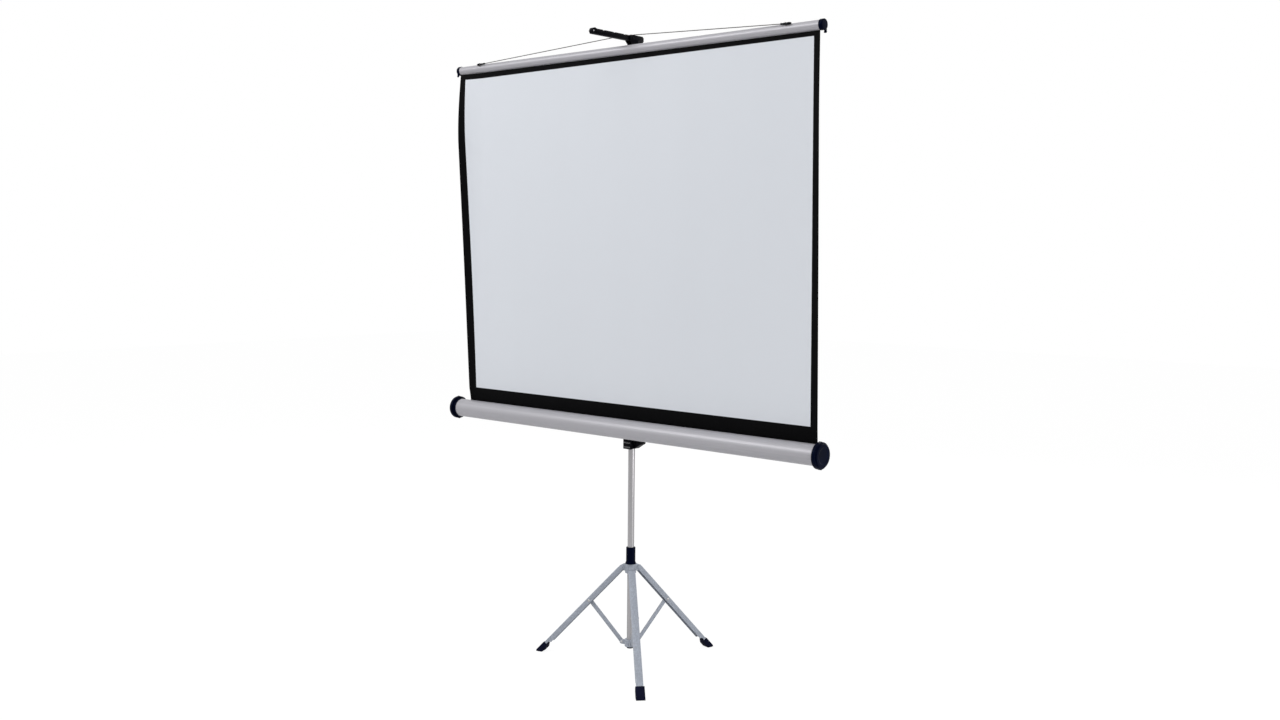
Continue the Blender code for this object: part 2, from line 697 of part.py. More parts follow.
def build_strut(index, carrier):
    """A flat bar from the leg's rivet to the open pivot in the collar's lugs."""
    number = index + 1
    half = STRUT_WIDTH / 2.0
    upper = (LEG_PIVOT_RADIUS + STRUT_PIVOT_ALONG * math.sin(LEG_LEAN), HUB_PIVOT_Z - STRUT_PIVOT_ALONG * math.cos(LEG_LEAN))
    frame = radial_frame(index) @ Matrix.Translation((*upper, 0.0)) @ Matrix.Rotation(-LEG_LEAN, 4, "Z")
    outline = arc(0.0, 0.0, half, 0.0, math.pi)
    outline += arc(0.0, -STRUT_PIVOT_ALONG, half, math.pi, 2.0 * math.pi)
    strut = outline_solid(f"strut_{number}", outline, STRUT_THICKNESS, frame)
    place(strut, carrier, LEG_PAINT)
    drill = Matrix.Translation((0.0, 0.0, -STRUT_THICKNESS / 2.0 - CUT_OVERRUN))
    hole = rod(
        f"strut_hole_{number}", STRUT_RIVET_RADIUS + GAP, STRUT_THICKNESS + 2.0 * CUT_OVERRUN, frame @ drill
    )
    cut(strut, hole, carrier)


def build_mast(lower, upper):
    """The two mast sections that slide out of the column."""
    bore = MAST_LOWER_RADIUS - MAST_LOWER_WALL
    tube = turned(
        "mast_lower_tube", ring_profile(bore, MAST_LOWER_RADIUS, MAST_LOWER_BOTTOM_Z, MAST_LOWER_TOP_Z), column_frame()
    )
    place(tube, lower, ALUMINIUM)
    guide("mast_guide", MAST_LOWER_RADIUS, MAST_UPPER_RADIUS, MAST_LOWER_TOP_Z, lower)
    bore = MAST_UPPER_RADIUS - MAST_UPPER_WALL
    tube = turned(
        "mast_upper_tube", ring_profile(bore, MAST_UPPER_RADIUS, MAST_UPPER_BOTTOM_Z, MAST_UPPER_TOP_Z), column_frame()
    )
    place(tube, upper, ALUMINIUM)
    build_head(upper)


def build_head(upper):
    """The head block on the mast, forked at the front for the keystone arm."""
    top = ARM_Z + HEAD_TOP_RISE
    bottom = top - HEAD_DEPTH
    outline = [
        (HEAD_REAR_Y, bottom + HEAD_TAPER),
        (HEAD_REAR_Y, top - HEAD_CHAMFER),
        (HEAD_REAR_Y - HEAD_CHAMFER, top),
        (HEAD_FRONT_Y + HEAD_CHAMFER, top),
        (HEAD_FRONT_Y, top - HEAD_CHAMFER),
        (HEAD_FRONT_Y, bottom + HEAD_TAPER),
        (HEAD_FRONT_Y + HEAD_TAPER, bottom),
        (HEAD_REAR_Y - HEAD_TAPER, bottom),
    ]
    head = outline_solid("mast_head", outline, HEAD_WIDTH, side_frame())
    place(head, upper, BLACK_PLASTIC)
    socket_radius = MAST_UPPER_RADIUS + GAP + HEAD_SOCKET_WALL
    socket_height = bottom + HEAD_DEPTH / 2.0 - HEAD_SOCKET_BOTTOM_Z
    socket = rod("head_socket", socket_radius, socket_height, column_frame(HEAD_SOCKET_BOTTOM_Z), TURN_STEPS)
    join(head, socket, upper)
    bore_from = HEAD_SOCKET_BOTTOM_Z - CUT_OVERRUN
    bore = rod(
        "head_bore", MAST_UPPER_RADIUS + GAP, MAST_UPPER_TOP_Z + GAP - bore_from, column_frame(bore_from), TURN_STEPS
    )
    cut(head, bore, upper)
    slot_half = ARM_WIDTH / 2.0 + RUNNING_GAP
    slot = block(
        "head_slot",
        (-slot_half, HEAD_FRONT_Y - CUT_OVERRUN, bottom - CUT_OVERRUN),
        (slot_half, ARM_HINGE_Y + ARM_HEIGHT / 2.0 + RUNNING_GAP, top + CUT_OVERRUN),
    )
    cut(head, slot, upper)
    pin_from = across_x(-HEAD_WIDTH / 2.0, ARM_HINGE_Y, ARM_Z)
    drill_from = across_x(-HEAD_WIDTH / 2.0 - CUT_OVERRUN, ARM_HINGE_Y, ARM_Z)
    hole = rod("head_pin_hole", ARM_PIN_RADIUS + GAP, HEAD_WIDTH + 2.0 * CUT_OVERRUN, drill_from)
    cut(head, hole, upper)
    place(rod("arm_pin", ARM_PIN_RADIUS, HEAD_WIDTH, pin_from), upper, STEEL)


def build_arm(arm):
    """The keystone arm with the notches that the bail is hooked into."""
    half = ARM_HEIGHT / 2.0
    tip_y = ARM_HINGE_Y - ARM_REACH
    outline = arc(ARM_HINGE_Y, ARM_Z, half, -math.pi / 2.0, math.pi / 2.0)
    for index in range(NOTCH_COUNT):
        middle = FIRST_NOTCH_Y - NOTCH_SPACING * index
        outline += [
            (middle + NOTCH_WIDTH, ARM_TOP_Z),
            (middle + NOTCH_WIDTH / 2.0, ARM_TOP_Z - NOTCH_DEPTH),
            (middle - NOTCH_WIDTH / 2.0, ARM_TOP_Z - NOTCH_DEPTH),
            (middle - NOTCH_WIDTH, ARM_TOP_Z),
        ]
    outline += [(tip_y + 2.0 * half, ARM_TOP_Z), (tip_y + half, ARM_TOP_Z + ARM_TIP_RISE)]
    outline += [(tip_y, ARM_TOP_Z), (tip_y - half / 2.0, ARM_Z), (tip_y, ARM_Z - half)]
    bar = outline_solid("keystone_arm", outline, ARM_WIDTH, side_frame())
    place(bar, arm, BLACK_PLASTIC)
    drill_from = across_x(-ARM_WIDTH / 2.0 - CUT_OVERRUN, ARM_HINGE_Y, ARM_Z)
    hole = rod("arm_hole", ARM_PIN_RADIUS + GAP, ARM_WIDTH + 2.0 * CUT_OVERRUN, drill_from)
    cut(bar, hole, arm)


def build_carriage(carriage):
    """The block that clamps the column, its nose for the swivel, and the lugs of the lock lever."""
    back_y = COLUMN_Y + CARRIAGE_HALF_DEPTH
    body = block(
        "carriage_block",
        (-CARRIAGE_HALF_WIDTH, CARRIAGE_FRONT_Y, CARRIAGE_BOTTOM_Z),
        (CARRIAGE_HALF_WIDTH, back_y, CARRIAGE_TOP_Z),
    )
    soften(body, CARRIAGE_EDGE_ROUND)
    place(body, carriage, BLACK_PLASTIC)
    nose_length = CARRIAGE_FRONT_Y + CUT_OVERRUN - CARRIAGE_NOSE_Y
    nose_from = across_y(0.0, CARRIAGE_NOSE_Y, CASE_AXIS_Z)
    join(body, rod("carriage_nose", SWIVEL_RADIUS, nose_length, nose_from, TURN_STEPS), carriage)
    pivot_x = CARRIAGE_HALF_WIDTH + LEVER_PIVOT_OUT
    lug_middle = LEVER_HALF_WIDTH + RUNNING_GAP + LEVER_LUG_THICKNESS / 2.0
    for side in (-1.0, 1.0):
        outline = [(CARRIAGE_HALF_WIDTH - LEVER_LUG_RADIUS, LEVER_PIVOT_Z - LEVER_LUG_RADIUS)]
        outline += arc(pivot_x, LEVER_PIVOT_Z, LEVER_LUG_RADIUS, -math.pi / 2.0, math.pi / 2.0)
        outline += [(CARRIAGE_HALF_WIDTH - LEVER_LUG_RADIUS, LEVER_PIVOT_Z + LEVER_LUG_RADIUS)]
        frame = front_frame(COLUMN_Y + side * lug_middle)
        join(body, outline_solid("lever_lug", outline, LEVER_LUG_THICKNESS, frame), carriage)
    bore_height = CARRIAGE_TOP_Z - CARRIAGE_BOTTOM_Z + 2.0 * CUT_OVERRUN
    bore = rod("carriage_bore", SLIDE_BORE, bore_height, column_frame(CARRIAGE_BOTTOM_Z - CUT_OVERRUN), TURN_STEPS)
    cut(body, bore, carriage)
    bolt_from = across_y(0.0, SADDLE_FRONT_Y + GAP, CASE_AXIS_Z)
    bolt_hole = rod("bolt_hole", SWIVEL_BOLT_RADIUS + GAP, SWIVEL_BOLT_LENGTH + CUT_OVERRUN / 2.0, bolt_from)
    cut(body, bolt_hole, carriage)
    pin_length = 2.0 * (LEVER_HALF_WIDTH + RUNNING_GAP + LEVER_LUG_THICKNESS)
    pin_from = across_y(pivot_x, COLUMN_Y - pin_length / 2.0, LEVER_PIVOT_Z)
    drill_from = across_y(pivot_x, COLUMN_Y - pin_length / 2.0 - CUT_OVERRUN, LEVER_PIVOT_Z)
    pin_hole = rod("lever_pin_hole", LEVER_PIN_RADIUS + GAP, pin_length + 2.0 * CUT_OVERRUN, drill_from)
    cut(body, pin_hole, carriage)
    place(rod("lever_pin", LEVER_PIN_RADIUS, pin_length, pin_from), carriage, STEEL)
    washer = turned(
        "swivel_washer",
        ring_profile(SWIVEL_BOLT_RADIUS + GAP, SWIVEL_WASHER_RADIUS, 0.0, SWIVEL_WASHER_THICKNESS),
        across_y(0.0, WASHER_FRONT_Y, CASE_AXIS_Z),
    )
    place(washer, carriage, BLACK_PLASTIC)


def soften(obj, width):
    """Rounds every sharp edge a little."""
    bevel = obj.modifiers.new("edges", "BEVEL")
    bevel.width = width
    bevel.segments = 2
    bevel.limit_method = "ANGLE"


def build_lever(lever):
    """The wedge-shaped lock lever beside the carriage block."""
    pivot_x = CARRIAGE_HALF_WIDTH + LEVER_PIVOT_OUT
    root_x = CARRIAGE_HALF_WIDTH + RUNNING_GAP
    root_radius = pivot_x - root_x
    top = LEVER_PIVOT_Z + LEVER_TOP_RISE
    tip_radius = LEVER_TIP_HEIGHT / 2.0
    outline = [(root_x, LEVER_PIVOT_Z - LEVER_ROOT_DROP)]
    outline += [(pivot_x, LEVER_PIVOT_Z - LEVER_ROOT_DROP)]
    outline += arc(LEVER_REACH - tip_radius, top - tip_radius, tip_radius, -math.pi / 2.0, math.pi / 2.0)
    outline += [(pivot_x, top)]
    outline += arc(pivot_x, LEVER_PIVOT_Z, root_radius, math.pi * 2.0 / 3.0, math.pi)
    solid = outline_solid("lock_lever", outline, 2.0 * LEVER_HALF_WIDTH, front_frame(COLUMN_Y))
    place(solid, lever, BLACK_PLASTIC)
    drill_from = across_y(pivot_x, COLUMN_Y - LEVER_HALF_WIDTH - CUT_OVERRUN, LEVER_PIVOT_Z)
    hole = rod("lever_hole", LEVER_PIN_RADIUS + GAP, 2.0 * (LEVER_HALF_WIDTH + CUT_OVERRUN), drill_from)
    cut(solid, hole, lever)


def case_shell():
    """Open C-shaped sheet of the case tube, before it gets its wall."""
    slot_half = CASE_SLOT_WIDTH / (2.0 * CASE_RADIUS)
    start = math.pi / 2.0 - CASE_SLOT_ANGLE + slot_half
    sweep = 2.0 * (math.pi - slot_half)
    steps = 2 * TURN_STEPS
    bm = bmesh.new()
    rows = []
    for x in (-CASE_TUBE_HALF, CASE_TUBE_HALF):
        row = [
            bm.verts.new(
                (
                    x,
                    CASE_RADIUS * math.cos(start + sweep * i / steps),
                    CASE_RADIUS * math.sin(start + sweep * i / steps),
                )
            )
            for i in range(steps + 1)
        ]
        rows.append(row)
    left, right = rows
    for i in range(steps):
        bm.faces.new((left[i], right[i], right[i + 1], left[i + 1]))
    data = bpy.data.meshes.new("case_tube")
    bm.to_mesh(data)
    bm.free()
    return data


def build_case(case):
    """The slotted tube, its end caps, the saddle behind it and the bolt it swivels on."""
    tube = bpy.data.objects.new("case_tube", case_shell())
    bpy.context.scene.collection.objects.link(tube)
    tube.matrix_world = Matrix.Translation((0.0, CASE_AXIS_Y, CASE_AXIS_Z))
    wall = tube.modifiers.new("wall", "SOLIDIFY")
    wall.thickness = CASE_WALL
    wall.offset = 1.0
    tube.data.shade_smooth()
    place(tube, case, ALUMINIUM)
    for side, word in ((-1.0, "left"), (1.0, "right")):
        build_case_cap(case, side, word)
    build_saddle(case)


def outward_frame(side, x, y, z):
    """Frame at one end whose Z points away from the middle of the part, along X."""
    return Matrix.Translation((side * x, y, z)) @ Matrix.Rotation(side * math.pi / 2.0, 4, "Y")


def build_case_cap(case, side, word):
    """An end cap: a rim next to the tube, a narrower face, and a boss for the roller's pin."""
    recess = CASE_RADIUS + GAP
    cavity = CASE_RADIUS - CASE_CAP_WALL
    face = CASE_CAP_LENGTH
    inside = face - CASE_CAP_WALL
    seat = CASE_CAP_RECESS + GAP
    bore = GUDGEON_RADIUS + GAP
    profile = [
        (0.0, face),
        (CASE_CAP_FACE_RADIUS - CASE_CAP_WALL, face),
        (CASE_CAP_FACE_RADIUS, face - CASE_CAP_WALL),
        (CASE_CAP_FACE_RADIUS, CASE_CAP_RIM_DEPTH),
        (CASE_CAP_RIM_RADIUS, CASE_CAP_RIM_DEPTH - CASE_CAP_WALL / 2.0),
        (CASE_CAP_RIM_RADIUS, 0.0),
        (recess, 0.0),
        (recess, seat),
        (cavity, seat),
        (cavity, inside),
        (CASE_CAP_BOSS_RADIUS, inside),
        (CASE_CAP_BOSS_RADIUS, inside - CASE_CAP_BOSS_REACH),
        (bore, inside - CASE_CAP_BOSS_REACH),
        (bore, inside),
        (0.0, inside),
    ]
    cap = turned(f"case_cap_{word}", profile, outward_frame(side, CASE_CAP_INNER_X, CASE_AXIS_Y, CASE_AXIS_Z), 40)
    place(cap, case, CAP_PLASTIC)


def build_saddle(case):
    """The saddle that holds the case tube from behind, below the fabric slot."""
    plate = rod(
        "case_saddle", SWIVEL_RADIUS, SADDLE_PLATE, across_y(0.0, SADDLE_FRONT_Y, CASE_AXIS_Z), TURN_STEPS
    )
    place(plate, case, BLACK_PLASTIC)
    top = CASE_AXIS_Z - GAP
    cradle = block(
        "saddle_cradle",
        (-SADDLE_HALF_WIDTH, SADDLE_FRONT_Y + SADDLE_PLATE - SADDLE_DEPTH, top - SADDLE_HEIGHT),
        (SADDLE_HALF_WIDTH, SADDLE_FRONT_Y + SADDLE_PLATE - GAP, top),
    )
    join(plate, cradle, case)
    hollow = rod(
        "saddle_hollow",
        CASE_RADIUS + GAP,
        2.0 * (SADDLE_HALF_WIDTH + CUT_OVERRUN),
        across_x(-SADDLE_HALF_WIDTH - CUT_OVERRUN, CASE_AXIS_Y, CASE_AXIS_Z),
        2 * TURN_STEPS,
    )
    cut(plate, hollow, case)
    bolt_hole = rod(
        "saddle_bolt_hole",
        SWIVEL_BOLT_RADIUS + GAP,
        SADDLE_PLATE + 2.0 * CUT_OVERRUN,
        across_y(0.0, SADDLE_FRONT_Y - CUT_OVERRUN, CASE_AXIS_Z),
    )
    cut(plate, bolt_hole, case)
    bolt_from = across_y(0.0, SADDLE_FRONT_Y + GAP, CASE_AXIS_Z)
    place(rod("swivel_bolt", SWIVEL_BOLT_RADIUS, SWIVEL_BOLT_LENGTH, bolt_from), case, STEEL)


def build_roller(case, roller):
    """The spring roller: tube, plugs, wound fabric and spring, with the pins it turns on."""
    axis = (CASE_AXIS_Y, CASE_AXIS_Z)
    bore = ROLLER_RADIUS - ROLLER_WALL
    tube = turned(
        "roller_tube", ring_profile(bore, ROLLER_RADIUS, 0.0, 2.0 * ROLLER_HALF), across_x(-ROLLER_HALF, *axis)
    )
    place(tube, roller, STEEL)
    wound = turned(
        "wound_fabric",
        ring_profile(ROLLER_RADIUS + GAP, WOUND_RADIUS, 0.0, FABRIC_WIDTH),
        across_x(FABRIC_OFFSET - FABRIC_HALF, *axis),
    )
    place(wound, roller, FABRIC)
    for side, word in ((-1.0, "left"), (1.0, "right")):
        pin = ARBOR_RADIUS if side < 0.0 else GUDGEON_RADIUS
        plug = turned(
            f"roller_plug_{word}",
            [
                (ROLLER_RADIUS, GAP + ROLLER_PLUG_FLANGE),
                (ROLLER_RADIUS, GAP),
                (bore - GAP, GAP),
                (bore - GAP, -ROLLER_PLUG_DEPTH),
                (pin + RUNNING_GAP, -ROLLER_PLUG_DEPTH),
                (pin + RUNNING_GAP, GAP + ROLLER_PLUG_FLANGE),
            ],
            outward_frame(side, ROLLER_HALF, *axis),
        )
        place(plug, roller, BLACK_PLASTIC)
    pin_end_x = CASE_CAP_INNER_X + CASE_CAP_LENGTH - CASE_CAP_WALL - GAP
    gudgeon_length = pin_end_x - ROLLER_HALF + ROLLER_PLUG_DEPTH
    gudgeon = rod("gudgeon_pin", GUDGEON_RADIUS, gudgeon_length, across_x(pin_end_x - gudgeon_length, *axis))
    place(gudgeon, case, STEEL)
    neck = CASE_CAP_BOSS_REACH + ROLLER_PLUG_FLANGE / 2.0
    arbor = turned(
        "spring_arbor",
        [
            (0.0, 0.0),
            (GUDGEON_RADIUS, 0.0),
            (GUDGEON_RADIUS, -neck),
            (ARBOR_RADIUS, -neck),
            (ARBOR_RADIUS, -ARBOR_LENGTH),
            (0.0, -ARBOR_LENGTH),
        ],
        outward_frame(-1.0, pin_end_x, *axis),
        SMALL_TURN_STEPS,
    )
    place(arbor, case, STEEL)
    spring_inner = ARBOR_RADIUS + RUNNING_GAP
    spring_end_x = ROLLER_HALF - ROLLER_PLUG_DEPTH - GAP
    spring = turned(
        "roller_spring",
        ring_profile(spring_inner, spring_inner + SPRING_THICKNESS, -SPRING_LENGTH, 0.0),
        outward_frame(-1.0, spring_end_x, *axis),
        SMALL_TURN_STEPS,
    )
    place(spring, roller, STEEL)


def curl_forward(x, rise_share):
    """How far the fabric's side edges curl towards the viewer, at a share of the screen's height."""
    peak = FABRIC_CURL_PEAK_SHARE
    if rise_share < peak:
        end = FABRIC_CURL_LOW_SHARE
        upright = rise_share / peak
    else:
        end = FABRIC_CURL_TOP_SHARE
        upright = math.cos((rise_share - peak) / (1.0 - peak) * math.pi / 2.0)
    amount = end + (1.0 - end) * upright
    start = FABRIC_CURL_START_SHARE
    amount *= min(1.0, max(0.0, (rise_share - start) / (FABRIC_CURL_FADE_SHARE - start)))
    reach = FABRIC_CURL_REACH_LOW
    if x < 0.0:
        reach += (FABRIC_CURL_REACH_HIGH - FABRIC_CURL_REACH_LOW) * rise_share
    across = max(0.0, (abs(x) - FABRIC_HALF + reach) / reach)
    most = FABRIC_LEFT_CURL if x < 0.0 else FABRIC_RIGHT_CURL
    return -most * amount * across * across


def fabric_columns():
    """Places across the fabric, closer together where its edges curl."""
    middle = FABRIC_HALF - FABRIC_CURL_REACH_HIGH
    edge = [FABRIC_CURL_REACH_HIGH * i / FABRIC_EDGE_COLUMNS for i in range(FABRIC_EDGE_COLUMNS)]
    inner = [middle * (2.0 * i / FABRIC_MIDDLE_COLUMNS - 1.0) for i in range(FABRIC_MIDDLE_COLUMNS + 1)]
    return [x - FABRIC_HALF for x in edge] + inner + [FABRIC_HALF - x for x in reversed(edge)]


def fabric_rows():
    """Points (y, z, share of height) that the fabric's middle runs through, from the roller to the batten."""
    reach_y, reach_z = SLOT_Y - CASE_AXIS_Y, SLOT_Z - CASE_AXIS_Z
    wrap = WOUND_RADIUS + GAP + FABRIC_THICKNESS
    tangent = math.atan2(reach_z, reach_y) - math.acos(wrap / math.hypot(reach_y, reach_z))
    rows = [(CASE_AXIS_Y + wrap * math.cos(tangent), CASE_AXIS_Z + wrap * math.sin(tangent), 0.0)]
    start, fade = FABRIC_CURL_START_SHARE, FABRIC_CURL_FADE_SHARE
    shares = [0.0] + [start + (fade - start) * i / FABRIC_FADE_ROWS for i in range(FABRIC_FADE_ROWS)]
    shares += [fade + (1.0 - fade) * i / FABRIC_ROWS for i in range(FABRIC_ROWS + 1)]
    for share in shares:
        z = SLOT_Z + (FABRIC_TOP_Z - SLOT_Z) * share
        y = SLOT_Y + (BATTEN_Y - SLOT_Y) * (z - SLOT_Z) / (BATTEN_Z - SLOT_Z)
        rows.append((y, z, share))
    return rows


def build_fabric(case):
    """The projection fabric, from the roller through the slot up to the batten."""
    bm = bmesh.new()
    grid = []
    columns = fabric_columns()
    for y, z, share in fabric_rows():
        grid.append([bm.verts.new((x + FABRIC_OFFSET, y + curl_forward(x, share), z)) for x in columns])
    for low, high in zip(grid, grid[1:]):
        for i in range(len(columns) - 1):
            bm.faces.new((low[i], low[i + 1], high[i + 1], high[i]))
    fabric = mesh_object("screen_fabric", bm, Matrix.Identity(4))
    cloth = fabric.modifiers.new("cloth", "SOLIDIFY")
    cloth.thickness = FABRIC_THICKNESS
    cloth.offset = 0.0
    place(fabric, case, FABRIC)


def build_batten(batten):
    """The batten tube, its caps with hook tabs, the eyes and the bail cord."""
    axis = (BATTEN_Y, BATTEN_Z)
    bore = BATTEN_RADIUS - BATTEN_WALL
    half = BATTEN_HALF - BATTEN_CAP_WALL - GAP
    tube = turned(
        "batten_tube", ring_profile(bore, BATTEN_RADIUS, 0.0, 2.0 * half), across_x(-half, *axis)
    )
    place(tube, batten, ALUMINIUM)
    for side, word in ((-1.0, "left"), (1.0, "right")):
        build_batten_cap(batten, side, word)
        eye_at = Matrix.Translation((side * EYE_X, EYE_Y, EYE_Z)) @ FACE_ACROSS_X
        place(torus(f"bail_eye_{word}", EYE_RADIUS, EYE_WIRE_RADIUS, eye_at), batten, STEEL)
    end_x = EYE_X + BAIL_END_OVERHANG
    seat_x = ARM_WIDTH / 2.0
    route = [
        (-end_x, EYE_Y, EYE_Z),
        (-EYE_X, EYE_Y, EYE_Z),
        (-seat_x, FIRST_NOTCH_Y, BAIL_TOP_Z),
        (seat_x, FIRST_NOTCH_Y, BAIL_TOP_Z),
        (EYE_X, EYE_Y, EYE_Z),
        (end_x, EYE_Y, EYE_Z),
    ]
    place(wire("bail_cord", route, BAIL_RADIUS), batten, BLACK_PLASTIC)


def torus(name, major, minor, frame):
    """A ring of round wire about the frame's Z."""
    steps = 8
    profile = [
        (major + minor * math.cos(-2.0 * math.pi * i / steps), minor * math.sin(-2.0 * math.pi * i / steps))
        for i in range(steps)
    ]
    return turned(name, profile, frame, SMALL_TURN_STEPS)


def build_batten_cap(batten, side, word):
    """A cap pushed over the batten's end, with its hook tab hanging from the cap's side."""
    inside = BATTEN_CAP_LENGTH - BATTEN_CAP_WALL
    profile = [
        (0.0, BATTEN_CAP_LENGTH),
        (BATTEN_CAP_RADIUS - BATTEN_CAP_WALL / 2.0, BATTEN_CAP_LENGTH),
        (BATTEN_CAP_RADIUS, inside),
        (BATTEN_CAP_RADIUS, 0.0),
        (BATTEN_RADIUS + GAP, 0.0),
        (BATTEN_RADIUS + GAP, inside),
        (0.0, inside),
    ]
    inner_x = BATTEN_HALF - BATTEN_CAP_LENGTH
    cap = turned(f"batten_cap_{word}", profile, outward_frame(side, inner_x, BATTEN_Y, BATTEN_Z))
    place(cap, batten, CAP_PLASTIC)
    near, far = sorted((side * (BATTEN_HALF - TAB_WIDTH), side * (BATTEN_HALF - BATTEN_CAP_WALL / 2.0)))
    tab_y = BATTEN_Y + side * TAB_OFFSET
    root_radius = BATTEN_RADIUS + BATTEN_CAP_WALL / 2.0
    root_z = BATTEN_Z - math.sqrt(root_radius**2 - (TAB_OFFSET - TAB_THICKNESS / 2.0) ** 2)
    tab = block(
        f"hook_tab_{word}",
        (near, tab_y - TAB_THICKNESS / 2.0, BATTEN_Z - TAB_REACH),
        (far, tab_y + TAB_THICKNESS / 2.0, root_z),
    )
    join(cap, tab, batten)


def settle(root):
    """Moves the whole part so that the middle of its outline on the floor is the origin."""
    bpy.context.view_layer.update()
    graph = bpy.context.evaluated_depsgraph_get()
    xs, ys, zs = [], [], []
    for obj in PARTS.objects:
        if obj.type != "MESH":
            continue
        seen = obj.evaluated_get(graph)
        for vertex in seen.data.vertices:
            point = seen.matrix_world @ vertex.co
            xs.append(point.x)
            ys.append(point.y)
            zs.append(point.z)
    root.location.x -= (min(xs) + max(xs)) / 2.0
    root.location.y -= (min(ys) + max(ys)) / 2.0
    bpy.context.view_layer.update()
    print("size", [round(max(v) - min(v), 4) for v in (xs, ys, zs)], "lowest", round(min(zs), 5))


def report(root):
    """Prints where each joint stands and how far the assemblies travel."""
    for obj in PARTS.objects:
        if obj.type == "EMPTY":
            print("joint at", obj.name, [round(c, 5) for c in obj.matrix_world.translation])
    lean = math.degrees(LEG_LEAN)
    tab_from_axis = SLOT_Y - CASE_AXIS_Y - TAB_OFFSET - TAB_THICKNESS
    stowed = CASE_AXIS_Z + math.sqrt(CASE_RADIUS**2 - tab_from_axis**2) + TAB_REACH
    along = Vector((0.0, BATTEN_Y - SLOT_Y, BATTEN_Z - SLOT_Z)).normalized()
    print("leg lean", round(lean, 4), "hub travel", round(HUB_TRAVEL, 5))
    print("screen axis", [round(c, 6) for c in along], "travel", round((BATTEN_Z - stowed) / along.z, 4))
    print("slot z", round(SLOT_Z, 5), "eye z", round(EYE_Z, 5), "moved by", [round(c, 5) for c in root.location])


for old in list(bpy.data.objects):
    bpy.data.objects.remove(old)

PARTS = new_collection("tripod_projector_screen")
CUTTERS = new_collection("cutters")
ALUMINIUM = make_material("satin aluminium", (0.52, 0.51, 0.55), 0.35, 0.7)
LEG_PAINT = make_material("grey hammer paint", (0.30, 0.33, 0.40), 0.5, 0.2)
BLACK_PLASTIC = make_material("black plastic", (0.006, 0.007, 0.014), 0.45, 0.0)
CAP_PLASTIC = make_material("dark blue-black plastic", (0.005, 0.006, 0.014), 0.4, 0.0)
STEEL = make_material("zinc plated steel", (0.55, 0.55, 0.56), 0.35, 0.9)
FABRIC = make_material("matt white screen fabric", (0.75, 0.78, 0.82), 0.9, 0.0)


def main():
    """Builds the part from the floor up."""
    root = empty("column", (0.0, 0.0, 0.0))
    build_column(root)
    hub = empty("hub_slide", (0.0, COLUMN_Y, HUB_PIVOT_Z), root)
    build_hub(hub)
    for index in range(LEG_COUNT):
        leg = empty(f"leg_hinge_{index + 1}", leg_frame(index).translation, hub)
        build_leg(index, leg)
        rivet_at = (leg_frame(index) @ Matrix.Translation((0.0, -STRUT_PIVOT_ALONG, 0.0))).translation
        build_strut(index, empty(f"strut_hinge_{index + 1}", rivet_at, leg))
    carriage = empty("carriage_slide", (0.0, COLUMN_Y, CARRIAGE_BOTTOM_Z), root)
    build_carriage(carriage)
    pivot_x = CARRIAGE_HALF_WIDTH + LEVER_PIVOT_OUT
    build_lever(empty("lever_hinge", (pivot_x, COLUMN_Y, LEVER_PIVOT_Z), carriage))
    case = empty("case_swivel", (0.0, SADDLE_BACK_Y, CASE_AXIS_Z), carriage)
    build_case(case)
    roller = empty("roller_spin", (0.0, CASE_AXIS_Y, CASE_AXIS_Z), case)
    build_roller(case, roller)
    build_fabric(case)
    build_batten(empty("screen_pull", (0.0, BATTEN_Y, BATTEN_Z), case))
    lower = empty("mast_lower_slide", (0.0, COLUMN_Y, MAST_LOWER_BOTTOM_Z), root)
    upper = empty("mast_upper_slide", (0.0, COLUMN_Y, MAST_UPPER_BOTTOM_Z), lower)
    build_mast(lower, upper)
    build_arm(empty("arm_hinge", (0.0, ARM_HINGE_Y, ARM_Z), upper))
    settle(root)
    report(root)


main()
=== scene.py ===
"""Looks of a tripod projector screen: cloth, tubes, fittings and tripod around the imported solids.

Metres, +Z up. The screen faces -Y and its width lies along X. Every piece has its place in its mesh.
"""

import functools
import json
import logging
import math
from collections.abc import Callable, Iterable, Mapping, Sequence
from dataclasses import dataclass
from enum import Enum
from typing import Any, Union

import bmesh
import bpy
from mathutils import Matrix, Vector


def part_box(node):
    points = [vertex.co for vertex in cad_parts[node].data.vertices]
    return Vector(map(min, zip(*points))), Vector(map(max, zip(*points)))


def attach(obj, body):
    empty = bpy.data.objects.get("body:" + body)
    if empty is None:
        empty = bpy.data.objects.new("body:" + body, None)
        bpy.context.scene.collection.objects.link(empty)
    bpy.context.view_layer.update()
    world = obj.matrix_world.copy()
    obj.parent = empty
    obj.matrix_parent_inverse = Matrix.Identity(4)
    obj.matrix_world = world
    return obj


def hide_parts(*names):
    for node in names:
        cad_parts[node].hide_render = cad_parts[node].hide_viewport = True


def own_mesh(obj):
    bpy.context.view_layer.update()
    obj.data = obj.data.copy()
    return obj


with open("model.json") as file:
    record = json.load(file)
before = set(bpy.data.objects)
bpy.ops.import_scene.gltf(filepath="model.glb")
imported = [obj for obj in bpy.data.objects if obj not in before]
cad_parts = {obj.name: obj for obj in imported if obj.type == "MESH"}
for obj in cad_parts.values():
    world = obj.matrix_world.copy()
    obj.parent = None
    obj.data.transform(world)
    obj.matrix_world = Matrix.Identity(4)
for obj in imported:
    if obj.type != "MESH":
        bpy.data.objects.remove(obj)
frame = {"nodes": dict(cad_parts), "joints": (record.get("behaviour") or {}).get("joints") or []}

LOG = logging.getLogger("tripod_screen")
PHOTO_WIDTH = 1280
EDGE_BAND = "edge_band"
OUTWARDS = "outwards"
CLOTH_UV = "metres"
CLOTH_INPUTS = ("Width", "Rise", "Hidden", "Left Curl", "Right Curl", "Ripple")
WINDING_INPUTS = ("Width", "First Radius", "Pitch", "Turns")
